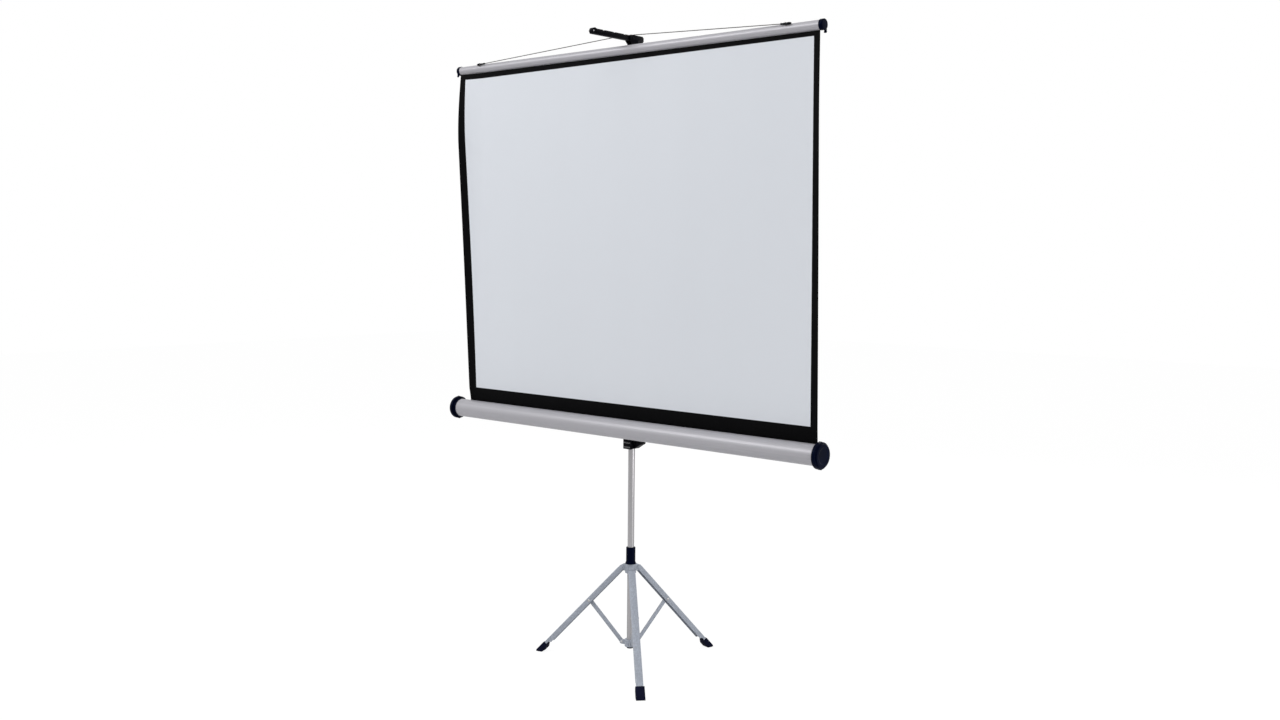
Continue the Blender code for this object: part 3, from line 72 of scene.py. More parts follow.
PIN_INPUTS = ("Pin Radius", "Pin Length", "Head Radius", "Head Rise", "Washer Radius", "Washer Thickness")
RIB_INPUTS = ("Count", "Spread", "Rib Radius", "Rib Length")
SMOOTH_ANGLE = math.radians(35.0)
SLOT_ANGLE = math.radians(65.0)
WELD = 0.00001
FIT = 0.0003
FULL_TURN = 2.0 * math.pi
UP = Vector((0.0, 0.0, 1.0))
ACROSS = Vector((1.0, 0.0, 0.0))
SIDES = ((-1.0, "left"), (1.0, "right"))
WHITE = (1.0, 1.0, 1.0, 1.0)

Number = Union["Value", float]
Colour = tuple[float, float, float]
Point = tuple[float, float, float]
Profile = Sequence[tuple[float, float]]


class Slot(Enum):
    """The record's material slots."""

    ALUMINIUM = "aluminium"
    LEG_PAINT = "leg_paint"
    FABRIC = "fabric"
    CORD = "cord"
    CAP_PLASTIC = "cap_plastic"
    STEEL = "steel"
    BLACK_PLASTIC = "black_plastic"


class Grain(Enum):
    """Which way the drawing lines of a tube run, as the pattern's scale along X, Y and Z."""

    ALONG_X = (1.2, 700.0, 700.0)
    ALONG_Z = (700.0, 700.0, 1.2)


def math_method(operation: str, swapped: bool = False) -> Callable[..., "Value"]:
    """Makes a method of Value that is one Math node.

    Args:
        operation: what the node does.
        swapped: True puts the other term first.

    Returns:
        The method, which takes the other term where the operation has two.
    """

    def method(self: "Value", *others: Number) -> "Value":
        """The node's result."""
        return self.graph.sum(operation, *((*others, self) if swapped else (self, *others)))

    return method


class Value:
    """A number from a node's socket that takes part in sums as a plain number does."""

    def __init__(self, graph: "Graph", socket: bpy.types.NodeSocket) -> None:
        """Wraps a socket of the graph."""
        self.graph = graph
        self.socket = socket

    __add__ = __radd__ = math_method("ADD")
    __sub__ = math_method("SUBTRACT")
    __rsub__ = math_method("SUBTRACT", swapped=True)
    __mul__ = __rmul__ = math_method("MULTIPLY")
    __truediv__ = math_method("DIVIDE")
    __lt__ = math_method("LESS_THAN")
    __gt__ = math_method("GREATER_THAN")
    __abs__ = math_method("ABSOLUTE")
    sine = math_method("SINE")
    cosine = math_method("COSINE")
    at_least = math_method("MAXIMUM")
    at_most = math_method("MINIMUM")

    def between(self, low: float, high: float) -> "Value":
        """0 at low and 1 at high with a soft start and end, and held beyond them.

        Args:
            low: the value at which the result is 0.
            high: the value at which the result is 1; it may be less than low.

        Returns:
            The share as a Value.
        """
        share = ((self - low) / (high - low)).at_least(0.0).at_most(1.0)
        return share * share * (3.0 - 2.0 * share)


class Graph:
    """Makes and links the nodes of one tree, for a material or for geometry."""

    def __init__(self, tree: bpy.types.NodeTree) -> None:
        """Works on the given tree."""
        self.tree = tree

    def node(
        self,
        kind: str,
        settings: Mapping[str, Any] | None = None,
        sockets: Mapping[str | int, Any] | None = None,
    ) -> bpy.types.Node:
        """Makes a node.

        Args:
            kind: the node's Blender type.
            settings: its properties.
            sockets: what each input holds or is linked to, by its name or number.

        Returns:
            The node.
        """
        made = self.tree.nodes.new(kind)
        for name, setting in (settings or {}).items():
            setattr(made, name, setting)
        for key, held in (sockets or {}).items():
            self.feed(made.inputs[key], held)
        return made

    def feed(self, socket: bpy.types.NodeSocket, held: Any) -> None:
        """Links a socket to a value or another socket, or sets what it holds."""
        source = held.socket if isinstance(held, Value) else held
        if isinstance(source, bpy.types.NodeSocket):
            self.tree.links.new(source, socket)
        else:
            socket.default_value = source

    def sum(self, operation: str, *terms: Number) -> Value:
        """One Math node on up to three terms."""
        made = self.node("ShaderNodeMath", {"operation": operation}, dict(enumerate(terms)))
        return Value(self, made.outputs[0])

    def mix(self, share: Number, low: Any, high: Any) -> bpy.types.NodeSocket:
        """Mixes two colours.

        Args:
            share: 0 gives low and 1 gives high.
            low: a colour or a colour socket.
            high: a colour or a colour socket.

        Returns:
            The mixed colour's socket.
        """
        made = self.node("ShaderNodeMix", {"data_type": "RGBA"}, {0: share, 6: rgba(low), 7: rgba(high)})
        return made.outputs[2]

    def place(self, scale: Sequence[float] = (1.0, 1.0, 1.0)) -> bpy.types.NodeSocket:
        """Object coordinates, stretched by a scale along each axis."""
        source = self.node("ShaderNodeTexCoord").outputs["Object"]
        return self.node("ShaderNodeMapping", None, {"Vector": source, "Scale": tuple(scale)}).outputs[0]

    def noise(self, vector: bpy.types.NodeSocket, scale: float, detail: float = 2.0) -> Value:
        """Soft noise from 0 to 1 about a middle of one half."""
        made = self.node("ShaderNodeTexNoise", None, {"Vector": vector, "Scale": scale, "Detail": detail})
        return Value(self, made.outputs[0])

    def cells(self, vector: bpy.types.NodeSocket, scale: float) -> Value:
        """Distance to the middle of the cell that a point lies in."""
        made = self.node("ShaderNodeTexVoronoi", {"feature": "SMOOTH_F1"}, {"Vector": vector, "Scale": scale})
        return Value(self, made.outputs["Distance"])

    def attribute(self, name: str) -> Value:
        """A number stored on the mesh, or 0 where the mesh doesn't have it."""
        return Value(self, self.node("ShaderNodeAttribute", {"attribute_name": name}).outputs["Fac"])

    def relief(self, height: Number, depth: float, strength: float) -> bpy.types.NodeSocket:
        """A bump normal from a height of 0 to 1 that stands for the depth in metres."""
        sockets = {"Height": height, "Distance": depth, "Strength": strength}
        return self.node("ShaderNodeBump", None, sockets).outputs[0]

    def parts(self, vector: bpy.types.NodeSocket) -> tuple[Value, ...]:
        """The X, Y and Z of a vector."""
        split = self.node("ShaderNodeSeparateXYZ", None, {0: vector})
        return tuple(Value(self, socket) for socket in split.outputs)

    def vector(self, x: Number = 0.0, y: Number = 0.0, z: Number = 0.0) -> bpy.types.NodeSocket:
        """The vector of three numbers."""
        return self.node("ShaderNodeCombineXYZ", None, {0: x, 1: y, 2: z}).outputs[0]

    def tones(self, share: Number, colour: Colour, low: float, high: float) -> bpy.types.NodeSocket:
        """A colour that runs from one factor of itself to another."""
        return self.mix(share, shade(colour, low), shade(colour, high))

    def weave(self, thread: float) -> tuple[Value, Value, Value]:
        """A plain weave by the cloth's own metres.

        Args:
            thread: how wide two threads are.

        Returns:
            The metres across and up the cloth, and the weave's height from 0 to 1.
        """
        across, up, _ = self.parts(self.node("ShaderNodeUVMap", {"uv_map": CLOTH_UV}).outputs[0])
        turns = FULL_TURN / thread
        return across, up, (across * turns).sine() * (up * turns).sine() * 0.5 + 0.5

    def rays(self) -> tuple[Value, Value]:
        """1 for rays from the camera, straight or through a pane, and 1 for glossy ones."""
        names = ("Is Camera Ray", "Is Transmission Ray", "Is Glossy Ray")
        sockets = self.node("ShaderNodeLightPath").outputs
        straight, through, glossy = (Value(self, sockets[name]) for name in names)
        return straight.at_least(through), glossy

    def surface(self, sockets: Mapping[str, Any]) -> None:
        """The Principled shader with these sockets, linked to the material's output."""
        shader = self.node("ShaderNodeBsdfPrincipled", None, sockets)
        self.node("ShaderNodeOutputMaterial", None, {"Surface": shader.outputs[0]})


def rgba(colour: Any) -> Any:
    """A colour with its alpha, or a socket as it is."""
    return (*colour, 1.0) if isinstance(colour, tuple) and len(colour) == 3 else colour


def shade(colour: Colour, factor: float) -> Colour:
    """A colour made lighter or darker by a factor."""
    return tuple(min(1.0, part * factor) for part in colour)


def empty_graph(owner: bpy.types.Material | bpy.types.World) -> Graph:
    """The graph of a material or a world, with its nodes taken out."""
    owner.use_nodes = True
    owner.node_tree.nodes.clear()
    return Graph(owner.node_tree)


class Finish:
    """What a surface is made of; each kind fills a material's graph."""

    name: str

    def fill(self, graph: Graph) -> None:
        """Makes the nodes of the finish in an empty graph."""
        raise NotImplementedError


@functools.cache
def paint(finish: Finish) -> bpy.types.Material:
    """The material of a finish, made once.

    Args:
        finish: a frozen finish.

    Returns:
        Its material.
    """
    made = bpy.data.materials.new(finish.name)
    finish.fill(empty_graph(made))
    return made


@dataclass(frozen=True)
class DrawnAluminium(Finish):
    """Satin aluminium tube with fine drawing lines, faint clouds and a few long scuffs."""

    name: str
    grain: Grain
    colour: Colour = (0.415, 0.408, 0.438)
    metallic: float = 0.2
    roughness: float = 0.38
    gloss: float = 0.5
    cloud_scale: float = 4.0
    scuff_stretch: float = 0.18
    scuff_scale: float = 6.0
    line_depth: float = 0.00008

    def fill(self, graph: Graph) -> None:
        """Makes the nodes."""
        lines = graph.noise(graph.place(self.grain.value), 1.0, 3.0)
        clouds = graph.noise(graph.place(), self.cloud_scale)
        stretch = tuple(part * self.scuff_stretch + self.scuff_scale for part in self.grain.value)
        scuffs = graph.noise(graph.place(stretch), 1.0, 4.0).between(0.66, 0.74)
        toned = graph.tones(lines.between(0.3, 0.7), self.colour, 0.95, 1.04)
        toned = graph.mix(clouds.between(0.35, 0.65) * 0.35, toned, shade(self.colour, 0.93))
        graph.surface(
            {
                "Base Color": graph.mix(scuffs * 0.3, toned, shade(self.colour, 1.25)),
                "Metallic": self.metallic,
                "Roughness": self.roughness - 0.05 + lines * 0.10 + scuffs * 0.12,
                "Specular IOR Level": self.gloss,
                "Normal": graph.relief(lines, self.line_depth, 0.25),
            }
        )


@dataclass(frozen=True)
class HammerPaint(Finish):
    """Blue-grey hammered enamel on pressed steel, rubbed thin along its edges."""

    name: str = "hammer_paint"
    colour: Colour = (0.335, 0.365, 0.425)
    bare: Colour = (0.50, 0.50, 0.51)
    cell: float = 0.0042
    cell_depth: float = 0.00022
    fleck_scale: float = 420.0
    patch_scale: float = 28.0
    wear_scale: float = 60.0

    def fill(self, graph: Graph) -> None:
        """Makes the nodes."""
        spread = graph.place()
        dimples = graph.cells(spread, 1.0 / self.cell)
        flecks = graph.noise(spread, self.fleck_scale)
        patches = graph.noise(spread, self.patch_scale, 3.0)
        worn = graph.attribute(EDGE_BAND) * graph.noise(spread, self.wear_scale, 3.0).between(0.42, 0.62)
        toned = graph.tones(dimples.between(0.15, 0.75), self.colour, 0.88, 1.14)
        toned = graph.mix(patches.between(0.35, 0.7) * 0.45, toned, shade(self.colour, 0.84))
        toned = graph.mix(flecks.between(0.62, 0.72) * 0.5, toned, shade(self.colour, 1.5))
        graph.surface(
            {
                "Base Color": graph.mix(worn * 0.7, toned, self.bare),
                "Metallic": worn * 0.5 + 0.15,
                "Roughness": 0.42 + patches * 0.14 - worn * 0.08,
                "Coat Weight": 0.25,
                "Coat Roughness": 0.3,
                "Normal": graph.relief(dimples, self.cell_depth, 0.6),
            }
        )


@dataclass(frozen=True)
class MouldedPlastic(Finish):
    """Dark moulded plastic with a fine spark-eroded grain and edges rubbed a little lighter."""

    name: str
    colour: Colour
    roughness: float = 0.42
    grain: float = 900.0
    gloss: float = 0.06
    tint: Colour = (0.35, 0.42, 0.8)
    grain_depth: float = 0.00005
    flow_scale: float = 22.0
    wear_scale: float = 90.0

    def fill(self, graph: Graph) -> None:
        """Makes the nodes."""
        spread = graph.place()
        grain = graph.noise(spread, self.grain)
        flow = graph.noise(spread, self.flow_scale)
        worn = graph.attribute(EDGE_BAND) * graph.noise(spread, self.wear_scale).between(0.4, 0.6)
        toned = graph.tones(flow.between(0.3, 0.7), self.colour, 0.8, 1.3)
        graph.surface(
            {
                "Base Color": graph.mix(worn * 0.35, toned, shade(self.colour, 3.0)),
                "Roughness": self.roughness - 0.04 + flow * 0.08 + grain * 0.06,
                "Specular IOR Level": self.gloss,
                "Specular Tint": rgba(self.tint),
                "Normal": graph.relief(grain, self.grain_depth, 0.35),
            }
        )


@dataclass(frozen=True)
class ZincSteel(Finish):
    """Zinc plated steel with pale and dull patches and fine turning marks."""

    name: str = "zinc_steel"
    colour: Colour = (0.56, 0.56, 0.57)
    patch_scale: float = 160.0
    mark_scale: float = 1500.0
    mark_depth: float = 0.00003

    def fill(self, graph: Graph) -> None:
        """Makes the nodes."""
        spread = graph.place()
        patches = graph.noise(spread, self.patch_scale, 3.0)
        graph.surface(
            {
                "Base Color": graph.tones(patches.between(0.35, 0.65), self.colour, 0.8, 1.1),
                "Metallic": 0.95,
                "Roughness": 0.28 + patches * 0.2,
                "Normal": graph.relief(graph.noise(spread, self.mark_scale), self.mark_depth, 0.3),
            }
        )


@dataclass(frozen=True)
class ScreenWhite(Finish):
    """Matt white projection face with its black masking border, by the cloth's own metres; the border carries
    painted sheen streaks.
    """

    name: str
    picture_low: float
    picture_high: float
    picture_half_width: float = 0.750
    picture_tilt: float = 0.0038
    picture_taper: float = 0.0095
    white: Colour = (0.715, 0.742, 0.790)
    black: Colour = (0.0010, 0.0010, 0.0013)
    edge: float = 0.0006
    thread: float = 0.0009
    thread_depth: float = 0.00004
    right_taper_share: float = 0.35
    bands: Point = (2.2, 1.0, 0.25)
    # Scale of the painted sheen: paler vertical streaks on the black border.
    sheen_streaks: Point = (160.0, 20.0, 8.0)

    def fill(self, graph: Graph) -> None:
        """Makes the nodes."""
        across, up, weave = graph.weave(self.thread)
        narrowed = (self.picture_high - up).at_least(0.0) * self.picture_taper
        on_left = across < 0.0
        beyond = abs(across) + narrowed * (on_left * (1.0 - self.right_taper_share) + self.right_taper_share)
        inside = beyond.between(self.picture_half_width + self.edge, self.picture_half_width - self.edge)
        inside = inside * up.between(self.picture_low - self.edge, self.picture_low + self.edge)
        sagged = up - across * self.picture_tilt
        inside = inside * sagged.between(self.picture_high + self.edge, self.picture_high - self.edge)
        bands = graph.noise(graph.place(self.bands), 1.0).between(0.3, 0.7)
        # Painted sheen: the black border turns up to 1.8 times lighter in vertical streaks.
        sheen_streaks = graph.noise(graph.place(self.sheen_streaks), 1.0).between(0.4, 0.7)
        white = graph.tones(bands, self.white, 0.985, 1.01)
        black = graph.tones(sheen_streaks, self.black, 1.0, 1.8)
        graph.surface(
            {
                "Base Color": graph.mix(inside, black, white),
                "Roughness": 0.62 + inside * 0.3,
                "Specular IOR Level": 0.05,
                "Normal": graph.relief(weave, self.thread_depth, 0.4),
            }
        )


@dataclass(frozen=True)
class BlackBacking(Finish):
    """Light-tight black coating on the back of the cloth, with its base weave showing through."""

    name: str = "black_backing"
    colour: Colour = (0.012, 0.012, 0.013)
    thread: float = 0.0011
    thread_depth: float = 0.00008
    clouds: Point = (6.0, 6.0, 2.0)

    def fill(self, graph: Graph) -> None:
        """Makes the nodes."""
        coat = graph.noise(graph.place(self.clouds), 1.0, 3.0)
        graph.surface(
            {
                "Base Color": graph.tones(coat, self.colour, 0.7, 1.6),
                "Roughness": 0.62 + coat * 0.2,
                "Normal": graph.relief(graph.weave(self.thread)[2], self.thread_depth, 0.5),
            }
        )


@dataclass(frozen=True)
class TwistedCord(Finish):
    """Dark laid cord with paler fibres on its strands."""

    name: str = "twisted_cord"
    colour: Colour = (0.026, 0.019, 0.017)
    fibres: Point = (260.0, 1400.0, 1400.0)
    fibre_depth: float = 0.0001
    wear_scale: float = 40.0

    def fill(self, graph: Graph) -> None:
        """Makes the nodes."""
        fibres = graph.noise(graph.place(self.fibres), 1.0)
        wear = graph.noise(graph.place(), self.wear_scale).between(0.4, 0.7) * 0.4
        toned = graph.tones(fibres.between(0.35, 0.7), self.colour, 0.6, 1.7)
        graph.surface(
            {
                "Base Color": graph.mix(wear, toned, shade(self.colour, 2.2)),
                "Roughness": 0.75 + fibres * 0.15,
                "Normal": graph.relief(fibres, self.fibre_depth, 0.6),
            }
        )


NAVY_PLASTIC = MouldedPlastic(
    "navy_black_plastic", (0.0010, 0.0020, 0.0095), roughness=0.30, gloss=0.05, tint=(0.2, 0.3, 0.75)
)
BLACK_PLASTIC = MouldedPlastic("black_plastic", (0.0018, 0.0019, 0.0030), gloss=0.08, tint=(0.6, 0.6, 0.7))
# Real ribs on the carriage's front; their pale grey colour is painted highlight on black plastic.
PAINTED_HIGHLIGHT_RIB_PLASTIC = MouldedPlastic(
    "rib_plastic_painted_highlight", (0.145, 0.145, 0.150), roughness=0.35, gloss=0.4, tint=(1.0, 1.0, 1.0)
)
BOOT_RUBBER = MouldedPlastic("boot_rubber", (0.0060, 0.0068, 0.0190), roughness=0.55, grain=500.0)
CASE_ALUMINIUM = DrawnAluminium("case_aluminium", Grain.ALONG_X)
POLE_ALUMINIUM = DrawnAluminium("pole_aluminium", Grain.ALONG_Z, (0.465, 0.455, 0.47), 0.8, 0.28, 0.3)
HAMMER_PAINT = HammerPaint()
ZINC_STEEL = ZincSteel()
TWISTED_CORD = TwistedCord()
BLACK_BACKING = BlackBacking()


def middle(node: str) -> Vector:
    """The middle of a node's box."""
    low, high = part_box(node)
    return (low + high) / 2.0


def half(node: str) -> Vector:
    """Half the size of a node's box."""
    low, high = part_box(node)
    return (high - low) / 2.0


def turns(steps: int) -> list[float]:
    """The angles of equal steps round a circle."""
    return [FULL_TURN * i / steps for i in range(steps)]


def polar(radius: float, angle: float) -> tuple[float, float]:
    """The point at a distance and an angle from the origin of a plane."""
    return radius * math.cos(angle), radius * math.sin(angle)


def smoothed(piece: bpy.types.Object, angle: float = SMOOTH_ANGLE) -> bpy.types.Object:
    """Shades a piece smooth but for the edges that are sharper than the angle."""
    piece.data.shade_smooth()
    piece.data.set_sharp_from_angle(angle=angle)
    return piece


def applied(piece: bpy.types.Object) -> bpy.types.Object:
    """Gives a piece the mesh that its modifiers make, and takes them away."""
    bpy.context.view_layer.update()
    result = bpy.data.meshes.new_from_object(piece.evaluated_get(bpy.context.evaluated_depsgraph_get()))
    piece.modifiers.clear()
    piece.data = result
    return piece


def thickened(cloth: bpy.types.Object, thickness: float) -> bpy.types.Object:
    """Gives a cloth its thickness, half of it to each side."""
    wall = cloth.modifiers.new("thickness", "SOLIDIFY")
    wall.thickness, wall.offset = thickness, 0.0
    return applied(cloth)


def mesh_piece(name: str, bm: bmesh.types.BMesh, angle: float = SMOOTH_ANGLE) -> bpy.types.Object:
    """Makes an object at the origin from a mesh that is already in place.

    Args:
        name: the piece's name.
        bm: its mesh, which is freed.
        angle: edges sharper than this stay sharp.

    Returns:
        The object, with its faces pointing outwards.
    """
    bmesh.ops.remove_doubles(bm, verts=bm.verts, dist=WELD)
    bmesh.ops.recalc_face_normals(bm, faces=bm.faces)
    data = bpy.data.meshes.new(name)
    bm.to_mesh(data)
    bm.free()
    made = bpy.data.objects.new(name, data)
    bpy.context.scene.collection.objects.link(made)
    return smoothed(made, angle)


def present(
    piece: bpy.types.Object,
    finish: Finish | Sequence[Finish],
    body: str,
    stands_for: Iterable[str] = (),
) -> None:
    """Gives a piece its finish and the body that it rides on, and hides the nodes that it stands for.

    Args:
        piece: the finished mesh object.
        finish: one finish, or one for each material index of the mesh.
        body: the CAD body that carries it.
        stands_for: the CAD nodes that it replaces.
    """
    finishes = [finish] if isinstance(finish, Finish) else list(finish)
    indices = [face.material_index if len(finishes) > 1 else 0 for face in piece.data.polygons]
    piece.data.materials.clear()
    for each in finishes:
        piece.data.materials.append(paint(each))
    piece.data.polygons.foreach_set("material_index", indices)
    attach(piece, body)
    names = list(stands_for)
    if names:
        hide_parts(*names)
    LOG.info("piece %s on %s, %d faces", piece.name, body, len(piece.data.polygons))


def facing(origin: Sequence[float], along: Sequence[float]) -> Matrix:
    """A frame at a point whose Z runs along a direction."""
    turn = Vector(along).normalized().to_track_quat("Z", "Y").to_matrix().to_4x4()
    return Matrix.Translation(origin) @ turn


def add_lathe(bm: bmesh.types.BMesh, profile: Profile, stand: Matrix, steps: int) -> None:
    """Adds a turned shape to a mesh.

    Args:
        bm: the mesh that it is added to.
        profile: points (radius, height), closed unless both ends are on the axis.
        stand: the frame whose Z is the axis.
        steps: how many faces go round.
    """
    rings = []
    for radius, height in profile:
        if radius < WELD:
            rings.append([bm.verts.new(stand @ Vector((0.0, 0.0, height)))] * steps)
            continue
        around = (Vector((*polar(radius, angle), height)) for angle in turns(steps))
        rings.append([bm.verts.new(stand @ point) for point in around])
    pairs = list(zip(rings, rings[1:]))
    if profile[0][0] >= WELD and profile[-1][0] >= WELD:
        pairs.append((rings[-1], rings[0]))
    for one, other in pairs:
        for i in range(steps):
            j = (i + 1) % steps
            corners = list(dict.fromkeys((one[i], one[j], other[j], other[i])))
            if len(corners) > 2:
                bm.faces.new(corners)


def add_loft(bm: bmesh.types.BMesh, rings: Sequence[Sequence[Vector]]) -> None:
    """Adds a skin over rings of equally many points, with flat ends."""
    made = [[bm.verts.new(point) for point in ring] for ring in rings]
    count = len(made[0])
    for one, other in zip(made, made[1:]):
        for i in range(count):
            j = (i + 1) % count
            bm.faces.new((one[i], one[j], other[j], other[i]))
    bm.faces.new(list(reversed(made[0])))
    bm.faces.new(made[-1])


def rounded(
    points: Sequence[tuple[float, float]], radius: float, steps: int = 3, open_ends: bool = False
) -> list[tuple[float, float]]:
    """Rounds the corners of an outline.

    Args:
        points: the corners in order.
        radius: how far from a corner its rounding starts.
        steps: how many edges each rounding gets.
        open_ends: True keeps the first and the last point, as on a profile that ends on its axis.

    Returns:
        The new outline.
    """
    outline = []
    count = len(points)
    for i, point in enumerate(points):
        if open_ends and i in (0, count - 1):
            outline.append(tuple(point))
            continue
        here = Vector(point)
        before, after = Vector(points[i - 1]) - here, Vector(points[(i + 1) % count]) - here
        reach = min(radius, before.length * 0.45, after.length * 0.45)
        start, end = here + before.normalized() * reach, here + after.normalized() * reach
        for k in range(steps + 1):
            t = k / steps
            outline.append(tuple(start * (1 - t) ** 2 + here * 2 * t * (1 - t) + end * t * t))
    return outline


def add_sweep(
    bm: bmesh.types.BMesh, path: Sequence[Vector], section: Callable[[int], Profile], up: Vector
) -> None:
    """Adds a skin that follows a path.

    Args:
        bm: the mesh that it is added to.
        path: the points that it follows.
        section: gives the outline at a point of the path, by the point's number.
        up: a direction that the path never takes.
    """
    rings = []
    for i, here in enumerate(path):
        ahead = (path[min(i + 1, len(path) - 1)] - path[max(i - 1, 0)]).normalized()
        side = ahead.cross(up).normalized()
        above = side.cross(ahead)
        rings.append([here + side * a + above * b for a, b in section(i)])
    add_loft(bm, rings)


def turned(
    name: str,
    profile: Profile,
    stand: Matrix,
    finish: Finish,
    body: str,
    slot: Slot,
    node: str,
    steps: int = 72,
) -> None:
    """Shows a turned piece in the place of a CAD node.

    Args:
        name: the piece's name.
        profile: its points (radius, height).
        stand: the frame whose Z is the axis.
        finish: its finish.
        body: the body that carries it.
        slot: not used.
        node: the CAD node.
        steps: how many faces go round.
    """
    bm = bmesh.new()
    add_lathe(bm, profile, stand, steps)
    present(mesh_piece(name, bm), finish, body, (node,))


def tube_profile(inner: float, outer: float, low: float, high: float, lip: float = 0.0004) -> Profile:
    """Profile of a tube whose end faces have small rounded lips."""
    return [
        (outer, low + lip),
        (outer, high - lip),
        (outer - lip, high),
        (inner + lip, high),
        (inner, high - lip),
        (inner, low + lip),
        (inner + lip, low),
        (outer - lip, low),
    ]


def upright(node: str) -> Matrix:
    """The frame on a turned node's upright axis, with its origin on the floor."""
    centre = middle(node)
    return Matrix.Translation((centre.x, centre.y, 0.0))


def lengthwise(node: str) -> Matrix:
    """The frame on a level node's axis, with its origin at X = 0 and its Z along X."""
    centre = middle(node)
    return facing((0.0, centre.y, centre.z), (1.0, 0.0, 0.0))


def refined(name: str, node: str, width: float) -> bpy.types.Object:
    """A copy of a CAD node with welded faces and small rounded edges, marked for wear.

    Args:
        name: the new piece's name.
        node: the CAD node.
        width: how wide the rounding is.

    Returns:
        The new object.
    """
    bm = bmesh.new()
    bm.from_mesh(frame["nodes"][node].data)
    bmesh.ops.remove_doubles(bm, verts=bm.verts, dist=WELD)
    bmesh.ops.dissolve_limit(bm, angle_limit=math.radians(0.5), verts=bm.verts, edges=bm.edges)
    band = bm.faces.layers.float.new(EDGE_BAND)
    sharp = [e for e in bm.edges if len(e.link_faces) == 2 and e.calc_face_angle(0.0) > SMOOTH_ANGLE]
    made = bmesh.ops.bevel(
        bm,
        geom=sharp,
        offset=width,
        offset_type="OFFSET",
        segments=2,
        profile=0.5,
        affect="EDGES",
        clamp_overlap=True,
    )
    for face in made["faces"]:
        face[band] = 1.0
    return mesh_piece(name, bm)


def moulding(
    name: str,
    node: str,
    width: float,
    body: str,
    finish: Finish = BLACK_PLASTIC,
) -> None:
    """Shows a refined copy of a CAD node in its place.

    Args:
        name: the new piece's name.
        node: the CAD node.
        width: how wide its rounded edges are.
        body: the body that carries it.
        finish: its finish.
    """
    present(refined(name, node, width), finish, body, (node,))


def cap_frame(node: str, tube: str, side: float) -> Matrix:
    """The frame of an end cap: its origin where the cap starts, on the tube's axis, and its Z outwards.

    Args:
        node: the cap's CAD node.
        tube: the CAD node of the tube that it closes.
        side: -1 for a left end and 1 for a right one.

    Returns:
        The frame.
    """
    low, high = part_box(node)
    axis = middle(tube)
    return facing((low.x if side > 0.0 else high.x, axis.y, axis.z), (side, 0.0, 0.0))


@dataclass(frozen=True)
class Lamp:
    """An area lamp: where it stands, what it points at, its size in metres and its power in watts."""

    name: str
    place: Point
    target: Point
    width: float
    height: float
    power: float

    def build(self) -> None:
        """Makes the lamp."""
        data = bpy.data.lights.new(self.name, "AREA")
        data.shape = "RECTANGLE"
        data.size, data.size_y, data.energy = self.width, self.height, self.power
        made = bpy.data.objects.new(self.name, data)
        made.location = self.place
        made.rotation_euler = (Vector(self.target) - Vector(self.place)).to_track_quat("-Z", "Y").to_euler()
        bpy.context.scene.collection.objects.link(made)


LAMPS = (
    Lamp("key_softbox", (-2.4, -3.6, 3.8), (-0.2, 0.0, 1.5), 2.6, 1.8, 66.0),
    Lamp("top_softbox", (0.0, -1.9, 4.4), (0.0, -0.1, 0.9), 2.6, 0.7, 15.0),
    Lamp("streak_strip", (-1.9, -2.4, 3.15), (0.4, 0.0, 1.0), 1.5, 0.07, 3.0),
    Lamp("side_strip", (3.6, -0.9, 2.7), (0.4, 0.0, 1.2), 0.5, 2.4, 16.0),
    Lamp("low_card", (2.6, 0.5, 0.6), (0.0, 0.0, 0.3), 0.8, 0.8, 14.0),
    Lamp("back_softbox", (-1.2, 3.4, 3.0), (0.0, 0.0, 1.0), 2.6, 2.0, 34.0),
)


